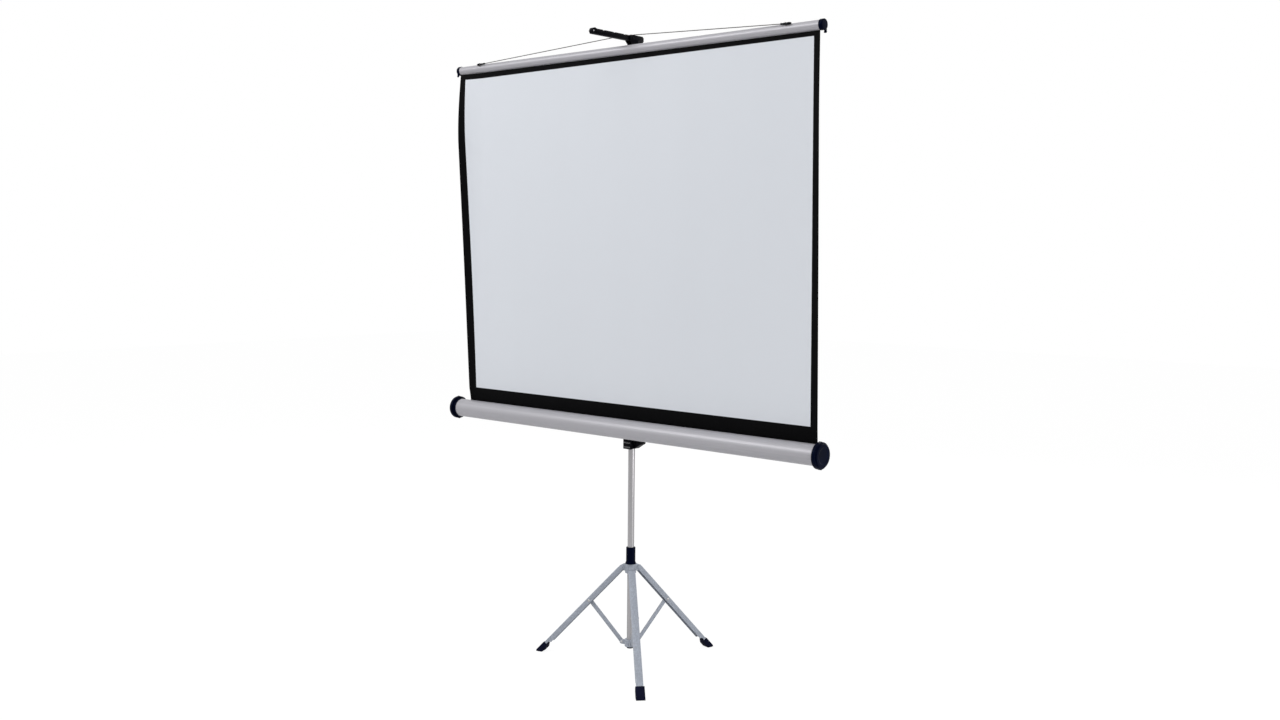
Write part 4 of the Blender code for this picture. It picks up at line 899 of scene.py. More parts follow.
@dataclass
class Studio:
    """Camera, lamps, world and floor."""

    eye_from_column: Point = (2.804, -3.171, 1.426)
    turn: float = math.radians(41.14)
    pitch: float = math.radians(5.03)
    roll: float = math.radians(0.53)
    focal_pixels: float = 1257.8
    sensor: float = 36.0
    reflected: float = 0.9
    ambient: float = 0.6
    flag_way: Point = (0.995, 0.105, 0.0)
    flag_from: float = 0.78
    flag_to: float = 0.94
    flag_depth: float = 0.87
    floor_half: float = 14.0
    floor_drop: float = 0.0004
    floor_grey: Colour = (0.8, 0.8, 0.8)
    floor_glow: float = 1.09
    floor_glow_share: float = 0.84

    def build(self) -> None:
        """Makes the whole studio."""
        bpy.context.scene.view_settings.view_transform = "Standard"
        self.camera()
        self.world()
        self.floor()
        for lamp in LAMPS:
            lamp.build()

    def camera(self) -> None:
        """Stands the camera where the photograph was taken from."""
        level = Vector((-math.sin(self.turn), math.cos(self.turn), 0.0))
        forward = level * math.cos(self.pitch) - UP * math.sin(self.pitch)
        right = Vector((math.cos(self.turn), math.sin(self.turn), 0.0))
        up = right.cross(forward)
        across = right * math.cos(self.roll) + up * math.sin(self.roll)
        above = up * math.cos(self.roll) - right * math.sin(self.roll)
        data = bpy.data.cameras.new("camera")
        data.sensor_width = self.sensor
        data.lens = self.focal_pixels * self.sensor / PHOTO_WIDTH
        foot = middle("column_tube")
        eye = Vector((foot.x, foot.y, 0.0)) + Vector(self.eye_from_column)
        stand = Matrix.Identity(4)
        for column, axis in enumerate((across, above, -forward, eye)):
            stand.col[column][:3] = axis
        made = bpy.data.objects.new("camera", data)
        made.matrix_world = stand
        bpy.context.scene.collection.objects.link(made)
        bpy.context.scene.camera = made

    def world(self) -> None:
        """White to the camera and in reflections, greyer on the right as by a flag, and soft for the rest."""
        made = bpy.data.worlds.new("studio")
        bpy.context.scene.world = made
        graph = empty_graph(made)
        seen, glossy = graph.rays()
        toward = graph.node("ShaderNodeTexCoord").outputs["Generated"]
        flag = graph.node("ShaderNodeVectorMath", {"operation": "DOT_PRODUCT"}, {0: toward, 1: self.flag_way})
        shaded = Value(graph, flag.outputs["Value"]).between(self.flag_from, self.flag_to)
        mirrored = glossy * (self.reflected - shaded * self.flag_depth)
        strength = seen.at_least(mirrored).at_least((1.0 - glossy) * self.ambient)
        light = graph.node("ShaderNodeBackground", None, {"Color": WHITE, "Strength": strength})
        graph.node("ShaderNodeOutputWorld", None, {"Surface": light.outputs[0]})

    def floor(self) -> None:
        """A pale floor that stays white to the camera but keeps a soft shadow."""
        bm = bmesh.new()
        size, depth = self.floor_half, -self.floor_drop
        corners = ((-size, -size), (size, -size), (size, size), (-size, size))
        bm.faces.new([bm.verts.new((x, y, depth)) for x, y in corners])
        made = mesh_piece("floor", bm)
        data = bpy.data.materials.new("pale_floor")
        graph = empty_graph(data)
        seen, _ = graph.rays()
        matt = graph.node("ShaderNodeBsdfDiffuse", None, {"Color": rgba(self.floor_grey)})
        white = graph.node("ShaderNodeEmission", None, {"Color": WHITE, "Strength": self.floor_glow})
        sockets = {"Fac": seen * self.floor_glow_share, 1: matt.outputs[0], 2: white.outputs[0]}
        both = graph.node("ShaderNodeMixShader", None, sockets)
        graph.node("ShaderNodeOutputMaterial", None, {"Surface": both.outputs[0]})
        made.data.materials.append(data)


class Recipe(Graph):
    """A Geometry Nodes tree with named inputs, applied to a piece and then taken away."""

    def __init__(self, name: str) -> None:
        """Starts a tree that takes a mesh and gives a mesh."""
        super().__init__(bpy.data.node_groups.new(name, "GeometryNodeTree"))
        self.tree.is_modifier = True
        for way in ("INPUT", "OUTPUT"):
            self.tree.interface.new_socket("Geometry", in_out=way, socket_type="NodeSocketGeometry")
        self.inlet = self.node("NodeGroupInput")
        self.identifiers: dict[str, str] = {}

    def input(self, name: str, kind: str = "Float") -> Value:
        """A named input of the tree: a Float, Int or Material."""
        made = self.tree.interface.new_socket(name, in_out="INPUT", socket_type=f"NodeSocket{kind}")
        self.identifiers[name] = made.identifier
        return Value(self, self.inlet.outputs[name])

    def end(self, geometry: bpy.types.NodeSocket) -> "Recipe":
        """Ends the tree in real faces that have the material input's material."""
        real = self.node("GeometryNodeRealizeInstances", None, {"Geometry": geometry})
        sockets = {"Geometry": real.outputs[0], "Material": self.input("Material", "Material")}
        dressed = self.node("GeometryNodeSetMaterial", None, sockets)
        self.node("NodeGroupOutput", None, {"Geometry": dressed.outputs[0]})
        return self

    def end_in_ribs(self, points: bpy.types.Node) -> "Recipe":
        """Ends the tree in a round rib along Z on each point."""
        sockets = {"Vertices": 12, "Radius": self.input("Rib Radius"), "Depth": self.input("Rib Length")}
        rib = self.node("GeometryNodeMeshCylinder", None, sockets)
        sockets = {"Points": points.outputs[0], "Instance": rib.outputs[0]}
        return self.end(self.node("GeometryNodeInstanceOnPoints", None, sockets).outputs[0])

    def end_in_cloth(
        self, size: Mapping[str, Any], metres: bpy.types.NodeSocket, place: bpy.types.NodeSocket
    ) -> "Recipe":
        """Ends the tree in a grid laid as a cloth.

        Args:
            size: the grid's sizes and its numbers of points.
            metres: each point's own metres across and along the cloth, kept as a UV map.
            place: where each point goes.

        Returns:
            The recipe.
        """
        grid = self.node("GeometryNodeMeshGrid", None, size)
        sockets = {"Geometry": grid.outputs[0], "Name": CLOTH_UV, "Value": metres}
        settings = {"data_type": "FLOAT2", "domain": "CORNER"}
        marked = self.node("GeometryNodeStoreNamedAttribute", settings, sockets)
        sockets = {"Geometry": marked.outputs[0], "Position": place}
        return self.end(self.node("GeometryNodeSetPosition", None, sockets).outputs[0])

    def bake(
        self, name: str, values: Mapping[str, Any], finish: Finish, source: bpy.types.Mesh | None = None
    ) -> bpy.types.Object:
        """Runs the tree on a mesh and makes the result a plain piece.

        Args:
            name: the new piece's name.
            values: what each named input is set to, but for the material.
            finish: the finish of its faces.
            source: the mesh that goes in, or None for an empty one.

        Returns:
            The new object, without the modifier.
        """
        made = bpy.data.objects.new(name, bpy.data.meshes.new(name) if source is None else source)
        bpy.context.scene.collection.objects.link(made)
        modifier = made.modifiers.new(self.tree.name, "NODES")
        modifier.node_group = self.tree
        for key, value in {**values, "Material": paint(finish)}.items():
            modifier[self.identifiers[key]] = value
        applied(made).data.name = name
        return made


@dataclass
class ScreenCloth:
    """The projection cloth: it comes out of the case's slot, and its side edges curl forwards."""

    width: float = 1.544
    thickness: float = 0.0008
    offset: float = 0.004
    slot_radius: float = 0.03175
    start_y: float = 0.0213
    start_z: float = -0.0077
    left_curl: float = 0.034
    right_curl: float = 0.006
    reach_low: float = 0.040
    reach_high: float = 0.130
    low_share: float = 0.15
    top_share: float = 0.4
    peak_share: float = 0.8
    start_share: float = 0.012
    fade_share: float = 0.05
    picture_bottom_z: float = 0.906
    picture_top_z: float = 2.0385
    ripple: float = 0.0009
    waves: Sequence[Point] = ((7.1, 2.3, 1.0), (3.3, -5.2, 0.7))
    crease: float = math.radians(60.0)
    columns: int = 150
    rows: int = 110

    def __post_init__(self) -> None:
        """Reads where the slot, the roller and the batten are."""
        case, batten = middle("case_tube"), middle("batten_tube")
        out, up = math.sin(SLOT_ANGLE), math.cos(SLOT_ANGLE)
        self.slot = (case.y + self.slot_radius * out, case.z + self.slot_radius * up)
        self.start = (case.y + self.start_y, case.z + self.start_z)
        self.top = (batten.y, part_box("screen_fabric")[1].z)
        self.batten = (batten.y, batten.z)

    def rise(self) -> float:
        """Length of the cloth from the slot to the batten."""
        return math.hypot(self.top_y() - self.slot[0], self.top[1] - self.slot[1])

    def top_y(self) -> float:
        """Where the cloth's line meets its top edge."""
        share = (self.top[1] - self.slot[1]) / (self.batten[1] - self.slot[1])
        return self.slot[0] + (self.batten[0] - self.slot[0]) * share

    def hidden(self) -> float:
        """Length of the cloth between the roller and the slot."""
        return math.hypot(self.slot[0] - self.start[0], self.slot[1] - self.start[1])

    def recipe(self) -> Recipe:
        """The tree that lays a grid on the cloth's rule."""
        tree = Recipe("cloth_rule")
        width, rise, hidden, left, right, ripple = (tree.input(name) for name in CLOTH_INPUTS)
        size = {"Size X": width, "Size Y": rise + hidden, "Vertices X": self.columns, "Vertices Y": self.rows}
        x, from_middle, _ = tree.parts(tree.node("GeometryNodeInputPosition").outputs[0])
        along = from_middle + (rise + hidden) * 0.5 - hidden
        share = (along / rise).at_least(0.0)
        below = (along * -1.0).at_least(0.0) / hidden
        falling = ((share - self.peak_share) * (math.pi / 2.0 / (1.0 - self.peak_share))).cosine()
        over = share > self.peak_share
        full = (share / self.peak_share) * (1.0 - over) + falling * over
        least = over * (self.top_share - self.low_share) + self.low_share
        fade = ((share - self.start_share) / (self.fade_share - self.start_share)).at_least(0.0).at_most(1.0)
        amount = (full * (1.0 - least) + least) * fade
        on_left = x < 0.0
        reach = share * on_left * (self.reach_high - self.reach_low) + self.reach_low
        across = ((abs(x) - width * 0.5 + reach) / reach).at_least(0.0)
        curl = (left * on_left + right * (1.0 - on_left)) * amount * across * across
        waves = [(x * turns_x + share * turns_up).sine() * depth for turns_x, turns_up, depth in self.waves]
        wave = (waves[0] + waves[1]) * ripple
        settle = (share * math.pi).sine()
        slot_y, slot_z = self.slot
        y = share * (self.top_y() - slot_y) + slot_y + below * (self.start[0] - slot_y) - curl + wave * settle
        z = share * (self.top[1] - slot_z) + slot_z + below * (self.start[1] - slot_z)
        return tree.end_in_cloth(size, tree.vector(x, along), tree.vector(x + self.offset, y, z))

    def build(self) -> None:
        """Makes the cloth, white in front and black behind."""
        slot_y, slot_z = self.slot
        low, high = self.picture_bottom_z - slot_z, self.picture_top_z - slot_z
        front = ScreenWhite("matt_white_screen", low, high)
        sizes = (self.width, self.rise(), self.hidden(), self.left_curl, self.right_curl, self.ripple)
        values = dict(zip(CLOTH_INPUTS, sizes))
        cloth = thickened(self.recipe().bake("projection_cloth", values, BLACK_BACKING), self.thickness)
        faces = smoothed(cloth, self.crease).data.polygons
        faces.foreach_set("material_index", [int(face.normal.y < 0.0) for face in faces])
        present(cloth, (BLACK_BACKING, front), "case", ("screen_fabric",))
        travel = next(j for j in frame["joints"] if j["name"] == "screen_pull")["range_m"][0]
        keep = (self.rise() + travel) / self.rise()
        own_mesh(cloth)
        self.rise() + self.hidden()


@functools.cache
def rib_ring() -> Recipe:
    """The tree that stands round ribs on a circle, each along the axis."""
    tree = Recipe("rib_ring")
    sockets = {"Vertices": tree.input("Count", "Int"), "Radius": tree.input("Spread")}
    return tree.end_in_ribs(tree.node("GeometryNodeMeshCircle", {"fill_type": "NONE"}, sockets))


@functools.cache
def rib_row() -> Recipe:
    """The tree that lays round ribs side by side along X, each along Z."""
    tree = Recipe("rib_row")
    sockets = {"Count": tree.input("Count", "Int"), "Offset": tree.vector(tree.input("Spread"))}
    return tree.end_in_ribs(tree.node("GeometryNodeMeshLine", {"mode": "OFFSET"}, sockets))


@functools.cache
def riveted_pin() -> Recipe:
    """The tree that sets a pin on each marked point, with a washer and a domed head at both ends."""
    tree = Recipe("riveted_pin")
    radius, length, head, rise, washer, plate = (tree.input(name) for name in PIN_INPUTS)
    shaft = tree.node("GeometryNodeMeshCylinder", None, {"Vertices": 20, "Radius": radius, "Depth": length})
    dome = tree.node("GeometryNodeMeshUVSphere", None, {"Segments": 20, "Rings": 12, "Radius": head})
    disc = tree.node("GeometryNodeMeshCylinder", None, {"Vertices": 24, "Radius": washer, "Depth": plate})
    both = tree.node("GeometryNodeJoinGeometry", None, {"Geometry": shaft.outputs[0]})
    full = (1.0, 1.0, 1.0)
    ends = ((dome, length + plate, tree.vector(1.0, 1.0, rise / head)), (disc, length, full))
    for way in (-0.5, 0.5):
        for solid, reach, scale in ends:
            move = tree.vector(z=reach * way)
            sockets = {"Geometry": solid.outputs[0], "Translation": move, "Scale": scale}
            tree.feed(both.inputs[0], tree.node("GeometryNodeTransform", None, sockets).outputs[0])
    outwards = tree.node("GeometryNodeInputNamedAttribute", {"data_type": "FLOAT_VECTOR"}, {"Name": OUTWARDS})
    turn = tree.node("FunctionNodeAlignRotationToVector", {"axis": "Z"}, {"Vector": outwards.outputs[0]})
    sockets = {"Points": tree.inlet.outputs[0], "Instance": both.outputs[0], "Rotation": turn.outputs[0]}
    return tree.end(tree.node("GeometryNodeInstanceOnPoints", None, sockets).outputs[0])


@dataclass(frozen=True)
class Pin:
    """Sizes of a riveted pin."""

    radius: float
    length: float
    head: float
    rise: float = 0.0012
    plate: float = 0.0006
    washer_share: float = 1.25

    def build(
        self,
        name: str,
        marks: Sequence[tuple[Vector, Vector]],
        finish: Finish,
        body: str,
        stands_for: Iterable[str] = (),
    ) -> None:
        """Makes one piece of all the pins of a body.

        Args:
            name: the piece's name.
            marks: the middle and the axis of each pin.
            finish: the pins' finish.
            body: the body that carries them.
            stands_for: the CAD nodes that they replace.
        """
        data = bpy.data.meshes.new(name)
        data.from_pydata([tuple(point) for point, _ in marks], [], [])
        layer = data.attributes.new(OUTWARDS, "FLOAT_VECTOR", "POINT")
        for held, (_, way) in zip(layer.data, marks):
            held.vector = way
        sizes = (self.radius, self.length, self.head, self.rise, self.head * self.washer_share, self.plate)
        piece = riveted_pin().bake(name, dict(zip(PIN_INPUTS, sizes)), finish, data)
        present(smoothed(piece), finish, body, stands_for)


def ribs(
    name: str,
    recipe: Recipe,
    sizes: tuple[int, float, float, float],
    stand: Matrix,
    finish: Finish,
    body: str,
    slot: Slot,
) -> None:
    """Makes a piece of ribs with one of the rib trees.

    Args:
        name: the piece's name.
        recipe: the tree that lays the ribs out.
        sizes: how many ribs there are, how they are spread, and the radius and the length of each.
        stand: the frame that the ribs are laid out in.
        finish: the ribs' finish.
        body: the body that carries them.
        slot: not used.
    """
    made = recipe.bake(name, dict(zip(RIB_INPUTS, sizes)), finish)
    made.data.transform(stand)
    present(smoothed(made), finish, body)


@dataclass
class Case:
    """The case of the roller: slotted tube, end caps and the saddle behind it."""

    radius: float = 0.0325
    wall: float = 0.0015
    slot_width: float = 0.006
    lip: float = 0.0013
    lip_sweep: float = math.radians(240.0)
    lip_steps: int = 8
    steps: int = 128
    cap_face: float = 0.018
    cap_face_radius: float = 0.036
    cap_rim_depth: float = 0.013
    cap_rim_radius: float = 0.0408
    cap_rounding: float = 0.0018
    skirt_radius: float = 0.0338
    skirts: tuple[float, float] = (0.012, 0.003)
    cap_seat_depth: float = 0.0063
    cap_wall: float = 0.0025
    dish_radius: float = 0.0235
    dish_depth: float = 0.0009
    lug_radius: float = 0.0030
    lug_sink: float = 0.45
    lug_share: float = 0.8

    def build(self) -> None:
        """Makes the case's pieces."""
        self.tube()
        for side, word in SIDES:
            self.cap(side, word)
        moulding("saddle_moulding", "case_saddle", 0.0007, "case")

    def tube(self) -> None:
        """The drawn tube, with a rounded bead along each edge of its slot."""
        half_slot = self.slot_width / 2.0 / self.radius
        first = math.pi / 2.0 - SLOT_ANGLE + half_slot
        sweep = FULL_TURN - 2.0 * half_slot
        inner = self.radius - self.wall
        mid = (self.radius + inner) / 2.0
        angles = [first + sweep * i / self.steps for i in range(self.steps + 1)]
        points = [polar(self.radius, angle) for angle in angles] + self.bead(mid, angles[-1], 1.0)
        points += [polar(inner, angle) for angle in reversed(angles)] + self.bead(mid, first, -1.0)
        axis, length = middle("case_tube"), half("case_tube").x
        bm = bmesh.new()
        add_loft(bm, [[axis + Vector((x, y, z)) for y, z in points] for x in (-length, length)])
        present(mesh_piece("case_tube_drawn", bm), CASE_ALUMINIUM, "case", ("case_tube",))

    def bead(self, radius: float, angle: float, way: float) -> list[tuple[float, float]]:
        """Half a round bead at the slot's edge, from the outer side to the inner one if way is 1.

        Args:
            radius: distance of its centre from the tube's axis.
            angle: where the wall ends.
            way: 1 at the end of the sweep and -1 at its start.

        Returns:
            The bead's points in the tube's section.
        """
        centre = Vector(polar(radius, angle))
        outwards = centre.normalized()
        onwards = Vector((-outwards.y, outwards.x)) * way
        made = []
        for i in range(self.lip_steps + 1):
            on, out = polar(self.lip, self.lip_sweep * (0.5 - i / self.lip_steps))
            made.append(tuple(centre + outwards * out * way + onwards * on))
        return made

    def cap(self, side: float, word: str) -> None:
        """An end cap: dished face, rim next to the tube, and a lug above and below.

        Args:
            side: -1 for the left end and 1 for the right one.
            word: the end's name.
        """
        node = f"case_cap_{word}"
        stand = cap_frame(node, "case_tube", side)
        face, dished = self.cap_face, self.cap_face - self.dish_depth
        skirt, seat = self.skirts[side > 0.0], self.radius + FIT
        cavity, inside = self.radius - self.cap_wall, self.cap_face - self.cap_wall
        profile = [
            (0.0, dished),
            (self.dish_radius, dished),
            (self.dish_radius + 2.0 * self.dish_depth, face),
            (self.cap_face_radius, face),
            (self.cap_face_radius, self.cap_rim_depth),
            (self.cap_rim_radius, self.cap_rim_depth),
            (self.cap_rim_radius, 0.0),
            (self.skirt_radius, 0.0),
            (self.skirt_radius, -skirt),
            (seat, -skirt),
            (seat, self.cap_seat_depth),
            (cavity, self.cap_seat_depth),
            (cavity, inside),
            (0.0, inside),
        ]
        outline = rounded(profile, self.cap_rounding, 4, True)
        turned(f"case_end_{word}", outline, stand, NAVY_PLASTIC, "case", Slot.CAP_PLASTIC, node, 96)
        reach = self.cap_rim_radius - self.lug_radius * self.lug_sink
        sizes = (2, 2.0 * reach, self.lug_radius, self.cap_rim_depth * self.lug_share)
        if abs((stand.to_3x3() @ ACROSS).z) < 0.5:
            stand = stand @ Matrix.Rotation(math.pi / 2.0, 4, "Z")
        stand = stand @ Matrix.Translation((-reach, 0.0, self.cap_rim_depth / 2.0))
        ribs(f"case_end_lugs_{word}", rib_row(), sizes, stand, NAVY_PLASTIC, "case", Slot.CAP_PLASTIC)


@dataclass
class Roller:
    """The spring roller inside the case, with the turns of cloth that stay on it."""

    wall: float = 0.0012
    first_radius: float = 0.0195
    pitch: float = 0.00042
    turns: float = 4.0
    steps: int = 48
    thickness: float = 0.0003

    def build(self) -> None:
        """Makes the roller's tube and the wound cloth."""
        node = "roller_tube"
        low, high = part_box(node)
        outer = half(node).z
        profile = tube_profile(outer - self.wall, outer, low.x, high.x)
        turned("roller_drawn", profile, lengthwise(node), ZINC_STEEL, "roller", Slot.STEEL, node)
        self.winding()

    def winding(self) -> None:
        """The cloth's spiral, as a grid rolled up by its rule."""
        low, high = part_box("wound_fabric")
        tree = Recipe("cloth_winding")
        width, start, pitch, count = (tree.input(name) for name in WINDING_INPUTS)
        rows = int(self.turns * self.steps) + 1
        size = {"Size X": width, "Size Y": count, "Vertices X": 3, "Vertices Y": rows}
        x, from_middle, _ = tree.parts(tree.node("GeometryNodeInputPosition").outputs[0])
        turned = from_middle + count * 0.5
        angle, radius = turned * FULL_TURN, start + turned * pitch
        place = tree.vector(x, radius * angle.cosine(), radius * angle.sine())
        tree.end_in_cloth(size, tree.vector(x, angle * start), place)
        values = dict(zip(WINDING_INPUTS, (high.x - low.x, self.first_radius, self.pitch, self.turns)))
        cloth = tree.bake("wound_cloth", values, BLACK_BACKING)
        cloth.data.transform(Matrix.Translation(middle("wound_fabric")))
        smoothed(thickened(cloth, self.thickness))
        present(cloth, BLACK_BACKING, "roller", ("wound_fabric",))


@dataclass
class Batten:
    """The top batten: tube, capped ends with hooks, eyes and the bail cord."""

    wall: float = 0.0012
    lip: float = 0.0003
    cap_wall: float = 0.002
    cap_trim: float = 0.0012
    cap_rounding: float = 0.0022
    hook_reach: float = 0.0225
    hook_offset: float = 0.011
    hook_root: float = 0.00925
    hook_shift: float = 0.0012
    hook_inset: float = 0.0057
    hook_widths: tuple[float, ...] = (0.0110, 0.0098, 0.0088, 0.0092, 0.0112, 0.0108, 0.0062)
    hook_depths: tuple[float, ...] = (0.0038, 0.0036, 0.0034, 0.0036, 0.0040, 0.0038, 0.0022)
    eye_wire: float = 0.0013
    shank: float = 0.0045
    shank_foot: float = 0.0026
    cord_radius: float = 0.0015
    strand_depth: float = 0.12
    cord_overhang: float = 0.003
    cord_step: float = 0.002
    lay_length: float = 0.011
    seat_half: float = 0.008
    crimp_lengths: tuple[float, float] = (0.022, 0.014)
    crimp_gap: float = 0.004
    crimp_rounding: float = 0.0006
    crimp: Profile = (
        (0.0030, 0.0),
        (0.0034, 0.25),
        (0.0024, 0.4),
        (0.0024, 0.55),
        (0.0031, 0.7),
        (0.0027, 1.0),
    )
    knot_lengths: tuple[float, float] = (0.011, 0.019)
    knot_gap: float = 0.0018
    knot: Profile = ((0.0026, 0.0), (0.0038, 0.25), (0.0039, 0.6), (0.0024, 0.94))

    def __post_init__(self) -> None:
        """Reads where the batten's tube is."""
        self.axis, self.radius = middle("batten_tube"), half("batten_tube").z

    def build(self) -> None:
        """Makes the batten's pieces."""
        node = "batten_tube"
        low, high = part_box(node)
        profile = tube_profile(self.radius - self.wall, self.radius, low.x, high.x, self.lip)
        turned("batten_drawn", profile, lengthwise(node), CASE_ALUMINIUM, "batten", Slot.ALUMINIUM, node, 96)
        for side, word in SIDES:
            self.cap(side, word)
            self.eye(side, word)
        self.cord()

    def cap(self, side: float, word: str) -> None:
        """A cap on the batten's end, with its hook.

        Args:
            side: -1 for the left end and 1 for the right one.
            word: the end's name.
        """
        node = f"batten_cap_{word}"
        low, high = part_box(node)
        stand, length = cap_frame(node, "batten_tube", side), high.x - low.x
        outer = high.z - self.axis.z - self.cap_trim
        bore, inside = self.radius + FIT, length - self.cap_wall
        corners = [(0.0, length), (outer, length), (outer, 0.0), (bore, 0.0), (bore, inside), (0.0, inside)]
        bm = bmesh.new()
        add_lathe(bm, rounded(corners, self.cap_rounding, 4, True), stand, 64)
        top = self.axis.z - math.sqrt((self.radius + self.cap_wall / 2.0) ** 2 - self.hook_root**2)
        bottom = self.axis.z - self.hook_reach
        x = stand.translation.x + side * (length - self.hook_inset)
        y = self.axis.y + side * (self.hook_offset + self.hook_shift)
        steps = len(self.hook_widths) - 1
        path = [Vector((x, y, top + (bottom - top) * i / steps)) for i in range(steps + 1)]

        def section(i: int) -> Profile:
            """The hook's rounded section at a step."""
            wide, deep = self.hook_widths[i] / 2.0, self.hook_depths[i] / 2.0
            return [(wide * math.cos(t), deep * math.sin(t)) for t in turns(16)]

        add_sweep(bm, path, section, Vector((0.0, 1.0, 0.0)))
        cap = mesh_piece(f"batten_end_{word}", bm)
        present(cap, NAVY_PLASTIC, "batten", (node,))

    def eye(self, side: float, word: str) -> None:
        """An eye on its shank, with the crimp and the knot of the cord on either side of it.

        Args:
            side: -1 for the left eye and 1 for the right one.
            word: the eye's name.
        """
        node, wire = f"bail_eye_{word}", self.eye_wire
        centre, ring = middle(node), half(node).z - wire
        bm = bmesh.new()
        section = [(ring + wire * math.cos(t), wire * math.sin(t)) for t in turns(12)]
        add_lathe(bm, section, facing(centre, ACROSS), 32)
        inwards = Vector((0.0, self.axis.y - centre.y, self.axis.z - centre.z)).normalized()
        long, foot = self.shank, self.shank_foot
        stem = [(0.0, 0.0), (wire, 0.0), (wire, long * 0.5), (foot, long * 0.6), (foot, long), (0.0, long)]
        add_lathe(bm, stem, facing(centre + inwards * ring, inwards), 16)
        present(mesh_piece(f"screw_eye_{word}", bm), BLACK_PLASTIC, "batten", (node,))
        run = (centre - self.notch()).normalized()
        long, bulge = self.crimp_lengths[side > 0.0], self.knot_lengths[side > 0.0]
        pinch = [(radius, long * share) for radius, share in self.crimp]
        pinch = [(self.cord_radius, 0.0), *pinch, (self.cord_radius, long)]
        knot = [(0.0, -0.0001), *((radius, bulge * share) for radius, share in self.knot), (0.0, bulge)]
        bm = bmesh.new()
        add_lathe(bm, rounded(pinch, self.crimp_rounding, 2), facing(centre - run * self.crimp_gap, -run), 20)
        add_lathe(bm, knot, facing(centre + ACROSS * side * self.knot_gap, (side, 0.0, 0.0)), 20)
        present(mesh_piece(f"bail_crimp_{word}", bm), BLACK_PLASTIC, "batten")

    def notch(self) -> Vector:
        """Where the cord lies in the arm's first notch."""
        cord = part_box("bail_cord")[1]
        return Vector((0.0, cord.y - self.cord_radius, cord.z - self.cord_radius))

    def route(self) -> list[Vector]:
        """The points that the bail cord follows from its left end to its right one."""
        eye, seat = middle("bail_eye_right"), self.notch()
        right = ((self.seat_half, seat), (eye.x, eye), (eye.x + self.cord_overhang, eye))
        return [
            *(Vector((-x, at.y, at.z)) for x, at in reversed(right)),
            *(Vector((x, at.y, at.z)) for x, at in right),
        ]

    def cord(self) -> None:
        """The laid cord from eye to eye over the arm."""
        route = self.route()
        path, length = [route[0]], 0.0
        for here, there in zip(route, route[1:]):
            run = (there - here).length
            steps = max(1, round(run / self.cord_step))
            path += [here.lerp(there, k / steps) for k in range(1, steps + 1)]
            length += run

        def section(i: int) -> Profile:
            """Three strands that turn as the cord goes on."""
            twist = FULL_TURN * i * self.cord_step / self.lay_length
            core, depth = self.cord_radius * (1.0 - self.strand_depth), self.cord_radius * self.strand_depth
            radii = [core + depth * math.cos(3.0 * t) for t in turns(12)]
            return [polar(radius, t + twist) for radius, t in zip(radii, turns(12))]

        bm = bmesh.new()
        add_sweep(bm, path, section, UP)
        cord = mesh_piece("bail_cord_laid", bm, math.radians(80.0))
        present(cord, TWISTED_CORD, "batten", ("bail_cord",))
        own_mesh(cord)


